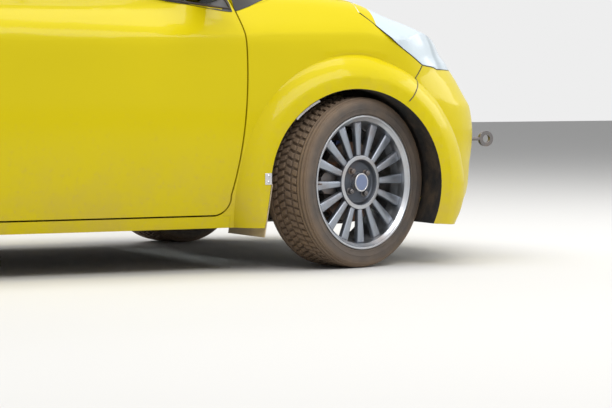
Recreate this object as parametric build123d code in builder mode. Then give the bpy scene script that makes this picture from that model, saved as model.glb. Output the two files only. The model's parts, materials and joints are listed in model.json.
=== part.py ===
"""Small three-door hatchback prepared for gravel rallies.

X points forward, Y to the car's left, Z up. The origin is on the ground, midway along and across the car.
All lengths are millimetres. The front wheels stand steered to the left by REST_STEER, as the car parks.
"""

import os
from math import atan2, cos, hypot, radians, sin, sqrt, tan

from build123d import *

os.makedirs("parts", exist_ok=True)

# Driving dimensions: wheels and stance
WHEELBASE = 2490
FRONT_AXLE_X = 1170
REAR_AXLE_X = FRONT_AXLE_X - WHEELBASE
TRACK = 1490
TYRE_R = 298
HUB_Z = TYRE_R
RIM_R = 233.5
SPOKES = 16
SPOKE_ROOT_WIDTH = 17
SPOKE_TIP_WIDTH = 26
SPOKE_ROOT_R = 90
BOLT_CIRCLE_R = 50
SPINDLE_R = 22
FIT = 0.05
DISC_R = 140
REST_STEER = 18
KINGPIN_Y = 715
KINGPIN_OFFSET = TRACK / 2 - KINGPIN_Y
KINGPIN_R = 10

# Wheel arches
ARCH_R = 332
ARCH_Z = 292
FLARE_LIP = 40
FLARE_OUT = 860
FLARE_RUN = 130
FLARE_ROOT = 640
LINER_R = 336
LINER_THICKNESS = 3
WELL_INNER_Y = 470

# Walls and gaps
THIN = 18
WALL = 56
GLASS_SINK = 4
GLASS = 5
SHUT = 5.5
SEAT_GAP = 0.3
DOOR_FLANGE = 14
TAILGATE_REBATE = 18
PILLAR_X = 700
FAR = 1200

# Body side levels: outlines in plan, one every 160 mm of height
# height, front, rear, half width, front corner radius, rear corner radius
BODY_LEVELS = (
    (60, 1700, -1760, 735, 320, 300),
    (220, 1862, -1885, 818, 420, 340),
    (380, 1893, -1905, 840, 425, 350),
    (540, 1891, -1905, 846, 420, 340),
    (700, 1826, -1878, 846, 400, 320),
    (860, 1735, -1832, 846, 380, 300),
    (1020, 1630, -1712, 846, 360, 280),
    (1180, 1520, -1560, 846, 340, 260),
)
BODY_BOWS = (1500, 2600, 14000)

# Bonnet, shoulder and belt: sections across the car, one every 560 mm of length
# station, crown height, crease half width, crease height
CROWN_STATIONS = (
    (1960, 600, 770, 425),
    (1400, 945, 822, 760),
    (840, 1010, 838, 788),
    (280, 1014, 840, 812),
    (-280, 1030, 840, 832),
    (-840, 1048, 838, 850),
    (-1400, 1064, 828, 866),
    (-1960, 1074, 812, 880),
)
CROWN_BOW = 4500
SHOULDER_R = 150
CREASE_R = 75
FLANK_LEAN = 42
SIDE_LEAN = 9

# Cabin levels: outlines in plan, one every 140 mm of height
# height, front, rear, half width, front corner radius, rear corner radius
CABIN_LEVELS = (
    (820, 1292, -1800, 800, 190, 240),
    (960, 1053, -1752, 762, 190, 240),
    (1100, 813, -1690, 720, 180, 230),
    (1240, 573, -1612, 673, 170, 220),
    (1380, 333, -1520, 622, 160, 210),
    (1520, 93, -1412, 566, 150, 200),
)
CABIN_BOWS = (1350, 2400, 9000)

# Roof sections across the car, one every 660 mm of length
# station, crown height, edge half width, edge height
ROOF_STATIONS = (
    (1220, 1165, 690, 930),
    (560, 1352, 690, 1120),
    (-100, 1463, 690, 1225),
    (-760, 1472, 690, 1235),
    (-1420, 1408, 690, 1180),
    (-2080, 1270, 690, 1060),
)
ROOF_BOW = 2600
ROOF_EDGE_R = 95
ROOF_FLANK_LEAN = 33
ROOF_SIDE_LEAN = 14

# Underside line, side view: where the skin ends above the road
UNDERSIDE = ((2100, 215), (1700, 172), (1480, 150), (-1000, 150), (-1640, 215), (-2100, 260))

# Side view outlines, front and rear quarters
FENDER_TOP = ((752, 892), (903, 931), (1010, 958))
BUMPER_LINE = ((1495, 707), (1368, 577), (1330, 540))
LAMP_LOWER = ((1243, 893), (1495, 712), (1600, 668), (1900, 655))
LAMP_INNER_Y = 430
REAR_BUMPER_TOP = 640
REAR_BUMPER_LINE = ((-1610, 640), (-1500, 520))
TAIL_LAMP = ((-1655, 905), (-1690, 700), (-2000, 700), (-2000, 935))
DOOR_WINDOW = (
    (735, 898), (430, 938), (-20, 986), (-430, 1013), (-425, 1308), (-390, 1328), (-200, 1334), (110, 1322),
    (724, 948),
)
CORNER_WINDOW = ((766, 903), (880, 931), (752, 990))
DOOR_INSIDE = (
    (-FAR, 100), (-690, 100), (-690, 960), (-585, 1290), (-535, 1375), (-535, 1500), (-FAR, 1500),
)
QUARTER_WINDOW = (
    (-515, 1020), (-1010, 1040), (-1130, 1062), (-1150, 1105), (-1085, 1240), (-1020, 1300), (-940, 1318),
    (-510, 1332),
)

# Front and rear view outlines, half width and height pairs
WINDSCREEN = ((640, 890), (640, 1000), (520, 1385))
TAILGATE = ((540, 640), (560, 700), (600, 905), (612, 1000), (575, 1240), (505, 1440))
REAR_WINDOW = ((430, 985), (455, 1010), (410, 1345))
LOWER_INTAKE = (500, 235, 395)
UPPER_INTAKE = (330, 560, 632)

# Plan outlines
SCREEN_FOOT_X = 1008
SCREEN_FOOT_R = 1350
BONNET_REAR_X = 1075
BONNET_SIDE = ((885, 690), (1230, 655), (1440, 575), (1600, 470), (1742, 418))
BONNET_NOSE_X = 1793
COWL_HALF = 636
ROOF_FRONT_X = 400
ROOF_REAR_X = -1385
ROOF_HALF = 535
TAILGATE_X = -1385

# Structure
FLOOR_Z = 160
FLOOR_THICKNESS = 16
FIREWALL_X = 800
STEP_X = -960
REAR_FLOOR_Z = 400
RAIL_Y = 425
STRUT_Y = 575
CAGE_R = 20
TOW_HOLE_R = 7.3
MIRROR_X = 640
MIRROR_Z = 1045
ENDS_X = 1955


def on_circle(centre, radius, angle):
    """Point on a circle in a plane."""
    return (centre[0] + radius * cos(angle), centre[1] + radius * sin(angle))


def across(point):
    """The same point on the other side of the centreline."""
    return (point[0], -point[1])


def bow_corner(bow_x, bow_r, side, side_r, corner_r, forward):
    """Centre of the corner circle that touches an end bow and a side bow from inside."""
    reach, side_reach = bow_r - corner_r, side_r - corner_r
    dx, dy = side[0] - bow_x, side[1]
    apart = hypot(dx, dy)
    along = (reach**2 - side_reach**2 + apart**2) / (2 * apart)
    off = sqrt(reach**2 - along**2)
    foot = (bow_x + along * dx / apart, along * dy / apart)
    ends = [(foot[0] - s * off * dy / apart, foot[1] + s * off * dx / apart) for s in (1, -1)]
    return max(ends, key=lambda p: forward * p[0] + p[1])


def plan_outline(front, rear, half, front_r, rear_r, bows, inset):
    """Closed outline in plan: bowed nose, tail and sides with round corners between them."""
    front, rear, half = front - inset, rear + inset, half - inset
    front_r, rear_r = front_r - inset, rear_r - inset
    front_bow, rear_bow, side_bow = (bow - inset for bow in bows)
    side = ((front + rear) / 2, half - side_bow)

    def corner(bow_x, bow_r, corner_r, forward):
        centre = bow_corner(bow_x, bow_r, side, side_bow, corner_r, forward)
        at_end = atan2(centre[1], centre[0] - bow_x)
        at_side = atan2(centre[1] - side[1], centre[0] - side[0])
        return (
            on_circle((bow_x, 0), bow_r, at_end),
            on_circle(centre, corner_r, (at_end + at_side) / 2),
            on_circle(side, side_bow, at_side),
        )

    nose, nose_mid, nose_side = corner(front - front_bow, front_bow, front_r, 1)
    tail, tail_mid, tail_side = corner(rear + rear_bow, rear_bow, rear_r, -1)
    with BuildSketch() as outline:
        with BuildLine():
            ThreePointArc(across(nose), (front, 0), nose)
            ThreePointArc(nose, nose_mid, nose_side)
            ThreePointArc(nose_side, (side[0], half), tail_side)
            ThreePointArc(tail_side, tail_mid, tail)
            ThreePointArc(tail, (rear, 0), across(tail))
            ThreePointArc(across(tail), across(tail_mid), across(tail_side))
            ThreePointArc(across(tail_side), (side[0], -half), across(nose_side))
            ThreePointArc(across(nose_side), across(nose_mid), across(nose))
        make_face()
    return outline.sketch


def arch_section(crown, edge, bow, top_r, edge_r, top_lean, side_lean, inset):
    """Arched section across the car: crown, round shoulder, flank, round crease, side down to the base."""
    lean, low_lean = radians(top_lean), radians(side_lean)
    out = (cos(lean), sin(lean))
    low_out = (cos(low_lean), sin(low_lean))
    up = (-sin(lean), cos(lean))
    crown_centre = (0, crown - bow)
    share = 1 / (1 + out[0] * low_out[0] + out[1] * low_out[1])
    crease = tuple(e - edge_r * (a + b) * share for e, a, b in zip(edge, out, low_out))
    start = tuple(e - top_r * a - c for e, a, c in zip(edge, out, crown_centre))
    along = start[0] * up[0] + start[1] * up[1]
    reach = -along + sqrt(along**2 - start[0] ** 2 - start[1] ** 2 + (bow - top_r) ** 2)
    shoulder = tuple(s + c + reach * u for s, c, u in zip(start, crown_centre, up))
    at_crown = atan2(shoulder[1] - crown_centre[1], shoulder[0])

    top = on_circle(crown_centre, bow - inset, at_crown)
    top_mid = on_circle(shoulder, top_r - inset, (at_crown + lean) / 2)
    flank = on_circle(shoulder, top_r - inset, lean)
    flank_end = on_circle(crease, edge_r - inset, lean)
    crease_mid = on_circle(crease, edge_r - inset, (lean + low_lean) / 2)
    side = on_circle(crease, edge_r - inset, low_lean)
    base_z = -100
    base = (side[0] + (side[1] - base_z) * tan(low_lean), base_z)

    def left(point):
        return (-point[0], point[1])

    with BuildSketch() as outline:
        with BuildLine():
            ThreePointArc(left(top), (0, crown - inset), top)
            ThreePointArc(top, top_mid, flank)
            Line(flank, flank_end)
            ThreePointArc(flank_end, crease_mid, side)
            Line(side, base)
            Line(base, left(base))
            Line(left(base), left(side))
            ThreePointArc(left(side), left(crease_mid), left(flank_end))
            Line(left(flank_end), left(flank))
            ThreePointArc(left(flank), left(top_mid), left(top))
        make_face()
    return outline.sketch


def level_form(levels, bows, inset):
    """Solid lofted upwards through outlines in plan."""
    with BuildPart() as form:
        for height, *outline in levels:
            with BuildSketch(Plane.XY.offset(height)):
                add(plan_outline(*outline, bows, inset))
        loft()
    return form.part


def section_form(stations, bow, top_r, edge_r, top_lean, side_lean, inset):
    """Solid lofted along the car through arched sections."""
    with BuildPart() as form:
        for station, crown, edge_y, edge_z in stations:
            with BuildSketch(Plane.YZ.offset(station)):
                add(arch_section(crown, (edge_y, edge_z), bow, top_r, edge_r, top_lean, side_lean, inset))
        loft()
    return form.part


def cabin_form(inset):
    """Cabin above the belt, taken in by a wall."""
    with BuildPart() as cabin:
        add(level_form(CABIN_LEVELS, CABIN_BOWS, inset))
        add(
            section_form(
                ROOF_STATIONS, ROOF_BOW, ROOF_EDGE_R, CREASE_R, ROOF_FLANK_LEAN, ROOF_SIDE_LEAN, inset
            ),
            mode=Mode.INTERSECT,
        )
    return cabin.part


def lower_form(inset):
    """Body below the windows, taken in by a wall."""
    with BuildPart() as lower:
        add(level_form(BODY_LEVELS, BODY_BOWS, inset))
        add(
            section_form(CROWN_STATIONS, CROWN_BOW, SHOULDER_R, CREASE_R, FLANK_LEAN, SIDE_LEAN, inset),
            mode=Mode.INTERSECT,
        )
    return lower.part


def polygon(points, grow=0):
    """Closed straight-sided outline, grown or shrunk."""
    with BuildSketch() as outline:
        with BuildLine():
            Polyline(*points, close=True)
        make_face()
        if grow:
            offset(amount=grow, kind=Kind.INTERSECTION)
    return outline.sketch


def side_prism(outline):
    """Side view outline carried right across the car."""
    with BuildPart() as prism:
        with BuildSketch(Plane.XZ):
            add(outline)
        extrude(amount=FAR, both=True)
    return prism.part


def plan_prism(outline, low, high):
    """Plan outline carried up between two heights."""
    with BuildPart() as prism:
        with BuildSketch(Plane.XY.offset(low)):
            add(outline)
        extrude(amount=high - low)
    return prism.part


def front_prism(outline, rear, front):
    """Front view outline carried along the car."""
    with BuildPart() as prism:
        with BuildSketch(Plane.YZ.offset(rear)):
            add(outline)
        extrude(amount=front - rear)
    return prism.part


def block(low, high):
    """Box between two opposite corners."""
    with BuildPart() as box:
        with Locations(tuple((a + b) / 2 for a, b in zip(low, high))):
            Box(*(b - a for a, b in zip(low, high)))
    return box.part


def tube(start, end, radius):
    """Round bar between two points."""
    run = Vector(*end) - Vector(*start)
    with BuildPart() as bar:
        with BuildSketch(Plane(origin=start, z_dir=run)):
            Circle(radius)
        extrude(amount=run.length)
    return bar.part


def coil(radius, height, turns):
    """Coil spring as a sleeve whose outside rises and falls with the turns."""
    pitch = height / turns
    waves = [
        corner for turn in range(turns)
        for corner in ((radius + 6, (turn + 0.5) * pitch), (radius, (turn + 1) * pitch))
    ]
    with BuildPart() as spring:
        with BuildSketch(Plane.XZ):
            with BuildLine():
                Polyline((radius - 6, 0), (radius, 0), *waves, (radius - 6, height), close=True)
            make_face()
        revolve(axis=Axis.Z)
    return spring.part


def both_sides(half):
    """Front view outline from its right half, widest values first given for one side."""
    return [(y, z) for y, z in half] + [(-y, z) for y, z in reversed(half)]


def door_outline(grow=0):
    """Side view outline of the whole door with its window frame."""
    with BuildSketch() as outline:
        with BuildLine():
            ThreePointArc((752, 892), (763, 600), (710, 262))
            ThreePointArc((710, 262), (694, 214), (650, 196))
            Line((650, 196), (-390, 196))
            ThreePointArc((-390, 196), (-434, 216), (-452, 262))
            ThreePointArc((-452, 262), (-477, 640), (-470, 1012))
            Line((-470, 1012), (-462, 1310))
            ThreePointArc((-462, 1310), (-446, 1354), (-400, 1371))
            ThreePointArc((-400, 1371), (-150, 1380), (90, 1366))
            Line((90, 1366), (178, 1345.7))
            Line((178, 1345.7), (735, 985))
            Line((735, 985), (752, 892))
        make_face()
        if grow:
            offset(amount=grow)
    return outline.sketch


def bow(centre_x, radius, half):
    """Ends and middle of an arc bowed forward in plan."""
    back = centre_x - radius + sqrt(radius**2 - half**2)
    return (back, half), (centre_x, 0), (back, -half)


def bonnet_outline(grow=0):
    """Plan outline of the bonnet."""
    hinge, wide, curve, narrow, tip = BONNET_SIDE
    with BuildSketch() as outline:
        with BuildLine():
            ThreePointArc(across(hinge), (BONNET_REAR_X, 0), hinge)
            Line(hinge, wide)
            ThreePointArc(wide, curve, narrow)
            Line(narrow, tip)
            ThreePointArc(tip, (BONNET_NOSE_X, 0), across(tip))
            Line(across(tip), across(narrow))
            ThreePointArc(across(narrow), across(curve), across(wide))
            Line(across(wide), across(hinge))
        make_face()
        if grow:
            offset(amount=grow)
    return outline.sketch


def screen_outline(grow=0, half=1000, rear=-500):
    """Plan area behind the windscreen's foot."""
    left, middle, right = bow(SCREEN_FOOT_X + grow, SCREEN_FOOT_R, half)
    with BuildSketch() as outline:
        with BuildLine():
            ThreePointArc(left, middle, right)
            Polyline(right, (rear, -half), (rear, half), left)
        make_face()
    return outline.sketch


def roof_outline(grow=0):
    """Plan outline of the roof panel."""
    left, middle, right = bow(ROOF_FRONT_X, SCREEN_FOOT_R, ROOF_HALF)
    with BuildSketch() as outline:
        with BuildLine():
            ThreePointArc(left, middle, right)
            Polyline(right, (ROOF_REAR_X, -ROOF_HALF), (ROOF_REAR_X, ROOF_HALF), left)
        make_face()
        if grow:
            offset(amount=grow, kind=Kind.INTERSECTION)
    return outline.sketch


def piece(stock, *steps):
    """Stock trimmed by regions kept and regions removed, in order."""
    with BuildPart() as trimmed:
        add(stock)
        for region, mode in steps:
            add(region, mode=mode)
    return trimmed.part


def pair(half):
    """A right-hand piece and its mirror image."""
    with BuildPart() as both:
        add(half)
        mirror(about=Plane.XZ)
    return both.part


def save(part, name):
    """Label a finished piece and write its file."""
    part.label = name
    export_step(part, f"parts/{name}.step")


KEEP, CUT = Mode.INTERSECT, Mode.SUBTRACT

# Forms at the skin and at each wall depth
lower, lower_thin, lower_wall = (lower_form(depth) for depth in (0, THIN, WALL))
cabin, cabin_thin, cabin_wall = (cabin_form(depth) for depth in (0, THIN, WALL))
glass_layer = piece(cabin_form(GLASS_SINK), (cabin_form(GLASS_SINK + GLASS), CUT))
RIGHT = block((-2100, -1100, -50), (2100, 0, 1700))
right_glass = piece(glass_layer, (RIGHT, KEEP))

# Flared arches of the right side, their openings, and the space under the skirts
with BuildPart() as flares:
    for axle_x in (FRONT_AXLE_X, REAR_AXLE_X):
        with BuildSketch(Plane.XY.offset(ARCH_Z)):
            with Locations((axle_x, 0)):
                with BuildLine():
                    Polyline(
                        (axle_x + ARCH_R + FLARE_RUN, 160 - FLARE_OUT), (axle_x + ARCH_R + FLARE_RUN, -FLARE_ROOT),
                        (axle_x + ARCH_R - 20, -FLARE_ROOT), (axle_x + ARCH_R - 20, -FLARE_OUT),
                        (axle_x + ARCH_R + FLARE_LIP, -FLARE_OUT),
                    )
                    ThreePointArc(
                        (axle_x + ARCH_R + FLARE_LIP, -FLARE_OUT), (axle_x + ARCH_R + 96, 36 - FLARE_OUT),
                        (axle_x + ARCH_R + FLARE_RUN, 160 - FLARE_OUT),
                    )
                make_face()
        revolve(axis=Axis((axle_x, 0, ARCH_Z), (0, 1, 0)))

with BuildPart() as openings:
    for axle_x in (FRONT_AXLE_X, REAR_AXLE_X):
        with BuildSketch(Plane.XZ.offset(WELL_INNER_Y)):
            with Locations((axle_x, ARCH_Z)):
                Circle(ARCH_R)
            with BuildLine():
                Polyline(
                    (axle_x, ARCH_Z), (axle_x - ARCH_R, ARCH_Z), (axle_x - ARCH_R - 30, 100), (axle_x, 100),
                    close=True,
                )
            make_face()
        extrude(amount=500)
    with BuildSketch(Plane.XZ):
        with BuildLine():
            Polyline(*UNDERSIDE, (-2100, -400), (2100, -400), close=True)
        make_face()
    extrude(amount=FAR, both=True)

# Regions
door_zone, door_inner_zone, door_clear = (side_prism(door_outline(g)) for g in (0, -DOOR_FLANGE, SHUT))
door_window = side_prism(polygon(DOOR_WINDOW))
door_depth = front_prism(polygon(DOOR_INSIDE), -600, 900)
bonnet_zone, bonnet_clear = (plan_prism(bonnet_outline(g), 600, 1100) for g in (0, SHUT))
behind_screen, behind_screen_clear = (plan_prism(screen_outline(g), 700, 1600) for g in (0, SEAT_GAP))
roof_zone, roof_clear = (plan_prism(roof_outline(g), 1200, 1600) for g in (0, SEAT_GAP))
lamp_outline = (*LAMP_LOWER, (1900, 1050), (1243, 1050))
lamp_zone, lamp_clear = (
    piece(
        side_prism(polygon(lamp_outline, g)), (block((1200, -FAR, 600), (1950, g - LAMP_INNER_Y, 1100)), KEEP),
    )
    for g in (0, SEAT_GAP)
)
ahead_outline = (*BUMPER_LINE, (1330, 50), (2100, 50), (2100, 1050), (1495, 1050))
bumper_zone = side_prism(polygon(ahead_outline, -SEAT_GAP))
fender_rear = ((716, 50), (716, 192), (690, 192), (690, 262), (735, 600), (735, 888), (758, 894))
fender_zone = side_prism(
    polygon((*fender_rear, *FENDER_TOP[1:], (1010, 1100), (1495, 1100), *BUMPER_LINE, (1330, 50)))
)
all_ahead = (*fender_rear, *FENDER_TOP[1:], (1010, 1100), (2100, 1100), (2100, 50))
ahead_zone = side_prism(polygon(all_ahead, SEAT_GAP))
screen_outline_view = both_sides(WINDSCREEN)
screen_opening, screen_zone = (
    front_prism(polygon(screen_outline_view, g), -100, 1400) for g in (0, -SEAT_GAP)
)
tailgate_zone = front_prism(polygon(both_sides(TAILGATE), -SHUT / 2), -2100, TAILGATE_X - SHUT)
tailgate_clear = front_prism(polygon(both_sides(TAILGATE), SHUT / 2), -2100, TAILGATE_X)
tailgate_core_zone = front_prism(polygon(both_sides(TAILGATE), -TAILGATE_REBATE), -2100, TAILGATE_X)
rear_window_opening, rear_window_zone = (
    front_prism(polygon(both_sides(REAR_WINDOW), g), -2000, -1400) for g in (0, -SEAT_GAP)
)
rear_outline = ((-2100, REAR_BUMPER_TOP), *REAR_BUMPER_LINE, (-1500, 50), (-2100, 50))
rear_bumper_zone, rear_bumper_clear = (side_prism(polygon(rear_outline, g)) for g in (-SEAT_GAP, 0))
tail_lamp_zone, tail_lamp_clear = (side_prism(polygon(TAIL_LAMP, g)) for g in (-SEAT_GAP, 0))
quarter_zone, quarter_opening = (side_prism(polygon(QUARTER_WINDOW, g)) for g in (-SEAT_GAP, 0))
corner_zone, corner_opening = (side_prism(polygon(CORNER_WINDOW, g)) for g in (-SEAT_GAP, 0))

# Right side of the whole shape
with BuildPart() as right_shape:
    add(lower)
    add(RIGHT, mode=Mode.INTERSECT)
    add(flares.part)
    add(openings.part, mode=Mode.SUBTRACT)
    add(piece(cabin, (RIGHT, KEEP)))
side = right_shape.part

# Doors with their window frames: outer skin with a flange, thicker inside
with BuildPart() as door_right:
    add(piece(side, (door_zone, KEEP), (door_depth, KEEP), (lower_thin, CUT), (cabin_thin, CUT)))
    for core, inner in ((lower_thin, lower_wall), (cabin_thin, cabin_wall)):
        add(piece(core, (door_inner_zone, KEEP), (door_depth, KEEP), (lower_wall, CUT), (inner, CUT)))
    add(door_window, mode=Mode.SUBTRACT)
save(door_right.part, "door_right")
save(door_right.part.mirror(Plane.XZ), "door_left")
door_glass = piece(right_glass, (side_prism(polygon(DOOR_WINDOW, -SEAT_GAP)), KEEP))
save(door_glass, "door_glass_right")
save(door_glass.mirror(Plane.XZ), "door_glass_left")

# Bonnet, scuttle and roof
save(piece(lower, (bonnet_zone, KEEP), (lower_thin, CUT)), "bonnet")
scuttle = block((780, SEAT_GAP - COWL_HALF, 800), (1100, COWL_HALF - SEAT_GAP, 1100))
scuttle_clear = block((780, -COWL_HALF, 800), (1100, COWL_HALF, 1100))
save(
    piece(lower, (scuttle, KEEP), (bonnet_clear, CUT), (behind_screen_clear, CUT), (lower_thin, CUT)),
    "cowl_panel",
)
save(piece(cabin, (roof_zone, KEEP), (cabin_thin, CUT), (screen_opening, CUT)), "roof_panel")

# Front wings, headlamps
wing = piece(
    side, (fender_zone, KEEP), (door_clear, CUT), (bonnet_clear, CUT), (lamp_clear, CUT),
    (scuttle_clear, CUT), (lower_thin, CUT), (cabin_thin, CUT),
)
save(pair(wing), "front_fenders")
lamp = piece(lower, (lamp_zone, KEEP), (bonnet_clear, CUT), (lower_wall, CUT))
save(pair(lamp), "headlights")

# Front bumper and its grilles
half, low, high = LOWER_INTAKE
lower_intake = ((-half, low), (half, low), (half - 60, high), (60 - half, high))
half, low, high = UPPER_INTAKE
upper_intake = ((-half, low), (half, low), (half + 40, high), (-half - 40, high))
with BuildPart() as front_stock:
    add(piece(lower, (bumper_zone, KEEP), (bonnet_clear, CUT)))
    add(piece(flares.part, (bumper_zone, KEEP)))
    add(piece(flares.part.mirror(Plane.XZ), (bumper_zone, KEEP)))
    mirrored = (openings.part.mirror(Plane.XZ), lamp_clear.mirror(Plane.XZ))
    for region in (openings.part, lamp_clear, *mirrored, lower_thin):
        add(region, mode=Mode.SUBTRACT)
with BuildPart() as front_bumper:
    add(front_stock.part)
    for view in (lower_intake, upper_intake):
        add(front_prism(polygon(view), 1500, 2000), mode=Mode.SUBTRACT)
    add(tube((1700, -430, 432), (2000, -430, 432), TOW_HOLE_R), mode=Mode.SUBTRACT)
save(front_bumper.part, "front_bumper")
with BuildPart() as grille:
    for view, (half, low, high) in ((lower_intake, LOWER_INTAKE), (upper_intake, UPPER_INTAKE)):
        with BuildSketch(Plane.YZ.offset(1500)):
            add(polygon(view, -SEAT_GAP))
            with Locations((0, (low + high) / 2)):
                with GridLocations(150, 28, 5 if half > 400 else 3, int((high - low - 10) / 28)):
                    Rectangle(132, 18, mode=Mode.SUBTRACT)
        extrude(amount=500)
    grille_reach = block((1500, -700, 200), (2000, 700, 660))
    add(piece(lower, (grille_reach, KEEP), (lower_thin, CUT)), mode=Mode.INTERSECT)
save(grille.part, "grille")

# Rear bumper, tail lamps, tailgate with its spoiler and glass
with BuildPart() as rear_bumper:
    add(piece(lower, (rear_bumper_zone, KEEP)))
    add(piece(flares.part, (rear_bumper_zone, KEEP)))
    add(piece(flares.part.mirror(Plane.XZ), (rear_bumper_zone, KEEP)))
    for region in (openings.part, openings.part.mirror(Plane.XZ), lower_thin):
        add(region, mode=Mode.SUBTRACT)
    add(tube((-1700, 430, 400), (-2000, 430, 400), TOW_HOLE_R), mode=Mode.SUBTRACT)
save(rear_bumper.part, "rear_bumper")
tail_lamp = piece(lower, (RIGHT, KEEP), (tail_lamp_zone, KEEP), (tailgate_clear, CUT), (lower_wall, CUT))
save(pair(tail_lamp), "tail_lights")
with BuildPart() as tailgate:
    add(lower)
    add(cabin)
    add(tailgate_zone, mode=Mode.INTERSECT)
    add(block((-2100, -900, REAR_BUMPER_TOP + SHUT), (-1300, 900, 1600)), mode=Mode.INTERSECT)
    rebate = piece(cabin_thin, (tailgate_core_zone, CUT))
    for region in (lower_wall, cabin_wall, rear_window_opening, rebate):
        add(region, mode=Mode.SUBTRACT)
    with BuildSketch(Plane.XZ):
        with BuildLine():
            Polyline((-1440, 1390), (-1440, 1416), (-1610, 1424), (-1618, 1410), (-1500, 1376), close=True)
        make_face()
    extrude(amount=480, both=True)
save(tailgate.part, "tailgate")
save(piece(glass_layer, (rear_window_zone, KEEP)), "rear_glass")

# Body sides with sills, pillars and quarter panels
body_side = piece(
    side, (ahead_zone, CUT), (door_clear, CUT), (roof_clear, CUT), (screen_opening, CUT),
    (bonnet_clear, CUT),
    (tailgate_clear, CUT), (rear_bumper_clear, CUT), (tail_lamp_clear, CUT), (quarter_opening, CUT),
    (corner_opening, CUT), (lower_wall, CUT), (cabin_wall, CUT),
)
save(pair(body_side), "body_sides")

# Fixed glass
save(piece(glass_layer, (screen_zone, KEEP), (behind_screen, KEEP)), "windscreen")
with BuildPart() as quarter_windows:
    add(piece(right_glass, (quarter_zone, KEEP)))
    add(piece(right_glass, (corner_zone, KEEP)))
    mirror(about=Plane.XZ)
save(quarter_windows.part, "quarter_windows")

# Wheel, outboard towards +Y, centred on its own middle
with BuildPart() as tyre:
    with BuildSketch(Plane.XY):
        with BuildLine():
            Polyline(
                (222.3, 62), (222.3, 83), (234, 90.6), (241, 98), (258, 102), (280, 101), (293, 93),
                (TYRE_R, 80),
                (TYRE_R, -80), (293, -93), (280, -101), (258, -102), (241, -98), (234, -90.6), (222.3, -83),
                (222.3, -62), (240, -86), (262, -93), (288, -84), (288, 84), (262, 93), (240, 86),
                close=True,
            )
        make_face()
    revolve(axis=Axis.Y)

with BuildPart() as rim:
    with BuildSketch(Plane.XY):
        with BuildLine():
            Polyline(
                (RIM_R, -97), (RIM_R, -91), (222, -84), (216, -55), (205, -40), (205, 30), (216, 50),
                (222, 84),
                (RIM_R, 91), (RIM_R, 97), (226, 97), (213, 82), (208, 55), (197, 32), (197, -42),
                (208, -57),
                (214, -86), (226, -97), close=True,
            )
        make_face()
    revolve(axis=Axis.Y)
    with BuildSketch(Plane.XZ.offset(-56)):
        with PolarLocations(0, SPOKES):
            with BuildLine():
                Polyline(
                    (SPOKE_ROOT_R, -SPOKE_ROOT_WIDTH / 2), (211, -SPOKE_TIP_WIDTH / 2),
                    (211, SPOKE_TIP_WIDTH / 2),
                    (SPOKE_ROOT_R, SPOKE_ROOT_WIDTH / 2), close=True,
                )
            make_face()
    extrude(amount=-18)
    with BuildSketch(Plane.XY):
        with BuildLine():
            Polyline(
                (28, 45.3), (80, 45.3), (95, 52), (95, 76), (88, 78), (77, 76), (72, 60), (33, 60),
                (33, 62), (28, 62),
                close=True,
            )
        make_face()
    revolve(axis=Axis.Y)
    with BuildSketch(Plane.XZ.offset(-40)):
        with PolarLocations(BOLT_CIRCLE_R, 4):
            Circle(7)
    extrude(amount=-30, mode=Mode.SUBTRACT)
    with BuildSketch(Plane.XY):
        with BuildLine():
            Polyline((0, 56), (27.7, 56), (27.7, 62.3), (33, 62.3), (33, 72), (28.5, 83), (0, 84), close=True)
        make_face()
    revolve(axis=Axis.Y)

with BuildPart() as front_hub:
    with BuildSketch(Plane.XY):
        with BuildLine():
            Polyline(
                (SPINDLE_R + FIT, -8), (34, -8), (34, 37), (62, 37), (62, 8), (DISC_R, 8), (DISC_R, 30),
                (72, 30),
                (72, 45), (SPINDLE_R + FIT, 45), close=True,
            )
        make_face()
    revolve(axis=Axis.Y)

with BuildPart() as rear_hub:
    with BuildSketch(Plane.XY):
        with BuildLine():
            Polyline(
                (SPINDLE_R + FIT, -8), (100, -8), (100, 6), (72, 6), (72, 45), (SPINDLE_R + FIT, 45),
                close=True,
            )
        make_face()
    revolve(axis=Axis.Y)

# Steering knuckle, kingpin along Z through its middle, outboard towards +Y
with BuildPart() as knuckle:
    Box(60, 32, 230)
    with BuildSketch(Plane.XZ.offset(-16)):
        Circle(SPINDLE_R)
    extrude(amount=-(KINGPIN_OFFSET + 40 - 16))
    with Locations((0, 0, 102.5), (0, 0, -102.5)):
        Cylinder(KINGPIN_R + FIT, 25, mode=Mode.SUBTRACT)
    with Locations((-56, 0, 0)):
        Box(72, 20, 50)
    with BuildSketch(Plane.XZ.offset(-8)):
        with BuildLine():
            Polyline((-86, -42), (-146, -36), (-162, -20), (-162, 20), (-146, 36), (-86, 42), close=True)
        make_face()
    extrude(amount=-(KINGPIN_OFFSET + 46 - 8))
    with Locations(Location((0, KINGPIN_OFFSET + 19, 0), (90, 0, 0))):
        Cylinder(DISC_R + 6, 33, mode=Mode.SUBTRACT)
    with Locations((-60, -22, -60)):
        Box(110, 16, 24)
    with Locations((-14, -15, -60)):
        Box(24, 16, 24)


def place(part, *moves):
    """A copy of a part carried through a chain of moves, last one first."""
    where = Location((0, 0, 0))
    for move in moves:
        where = where * Location(*move)
    return part.moved(where)


TURN = ((0, 0, 0), (0, 0, 180))
LEFT_FRONT = ((FRONT_AXLE_X, KINGPIN_Y, HUB_Z), (0, 0, REST_STEER))
RIGHT_FRONT = ((FRONT_AXLE_X, -KINGPIN_Y, HUB_Z), (0, 0, REST_STEER))
OFFSET = ((0, KINGPIN_OFFSET, 0), (0, 0, 0))
LEFT_REAR = ((REAR_AXLE_X, TRACK / 2, HUB_Z), (0, 0, 0))
RIGHT_REAR = ((REAR_AXLE_X, -TRACK / 2, HUB_Z), (0, 0, 0))

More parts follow.
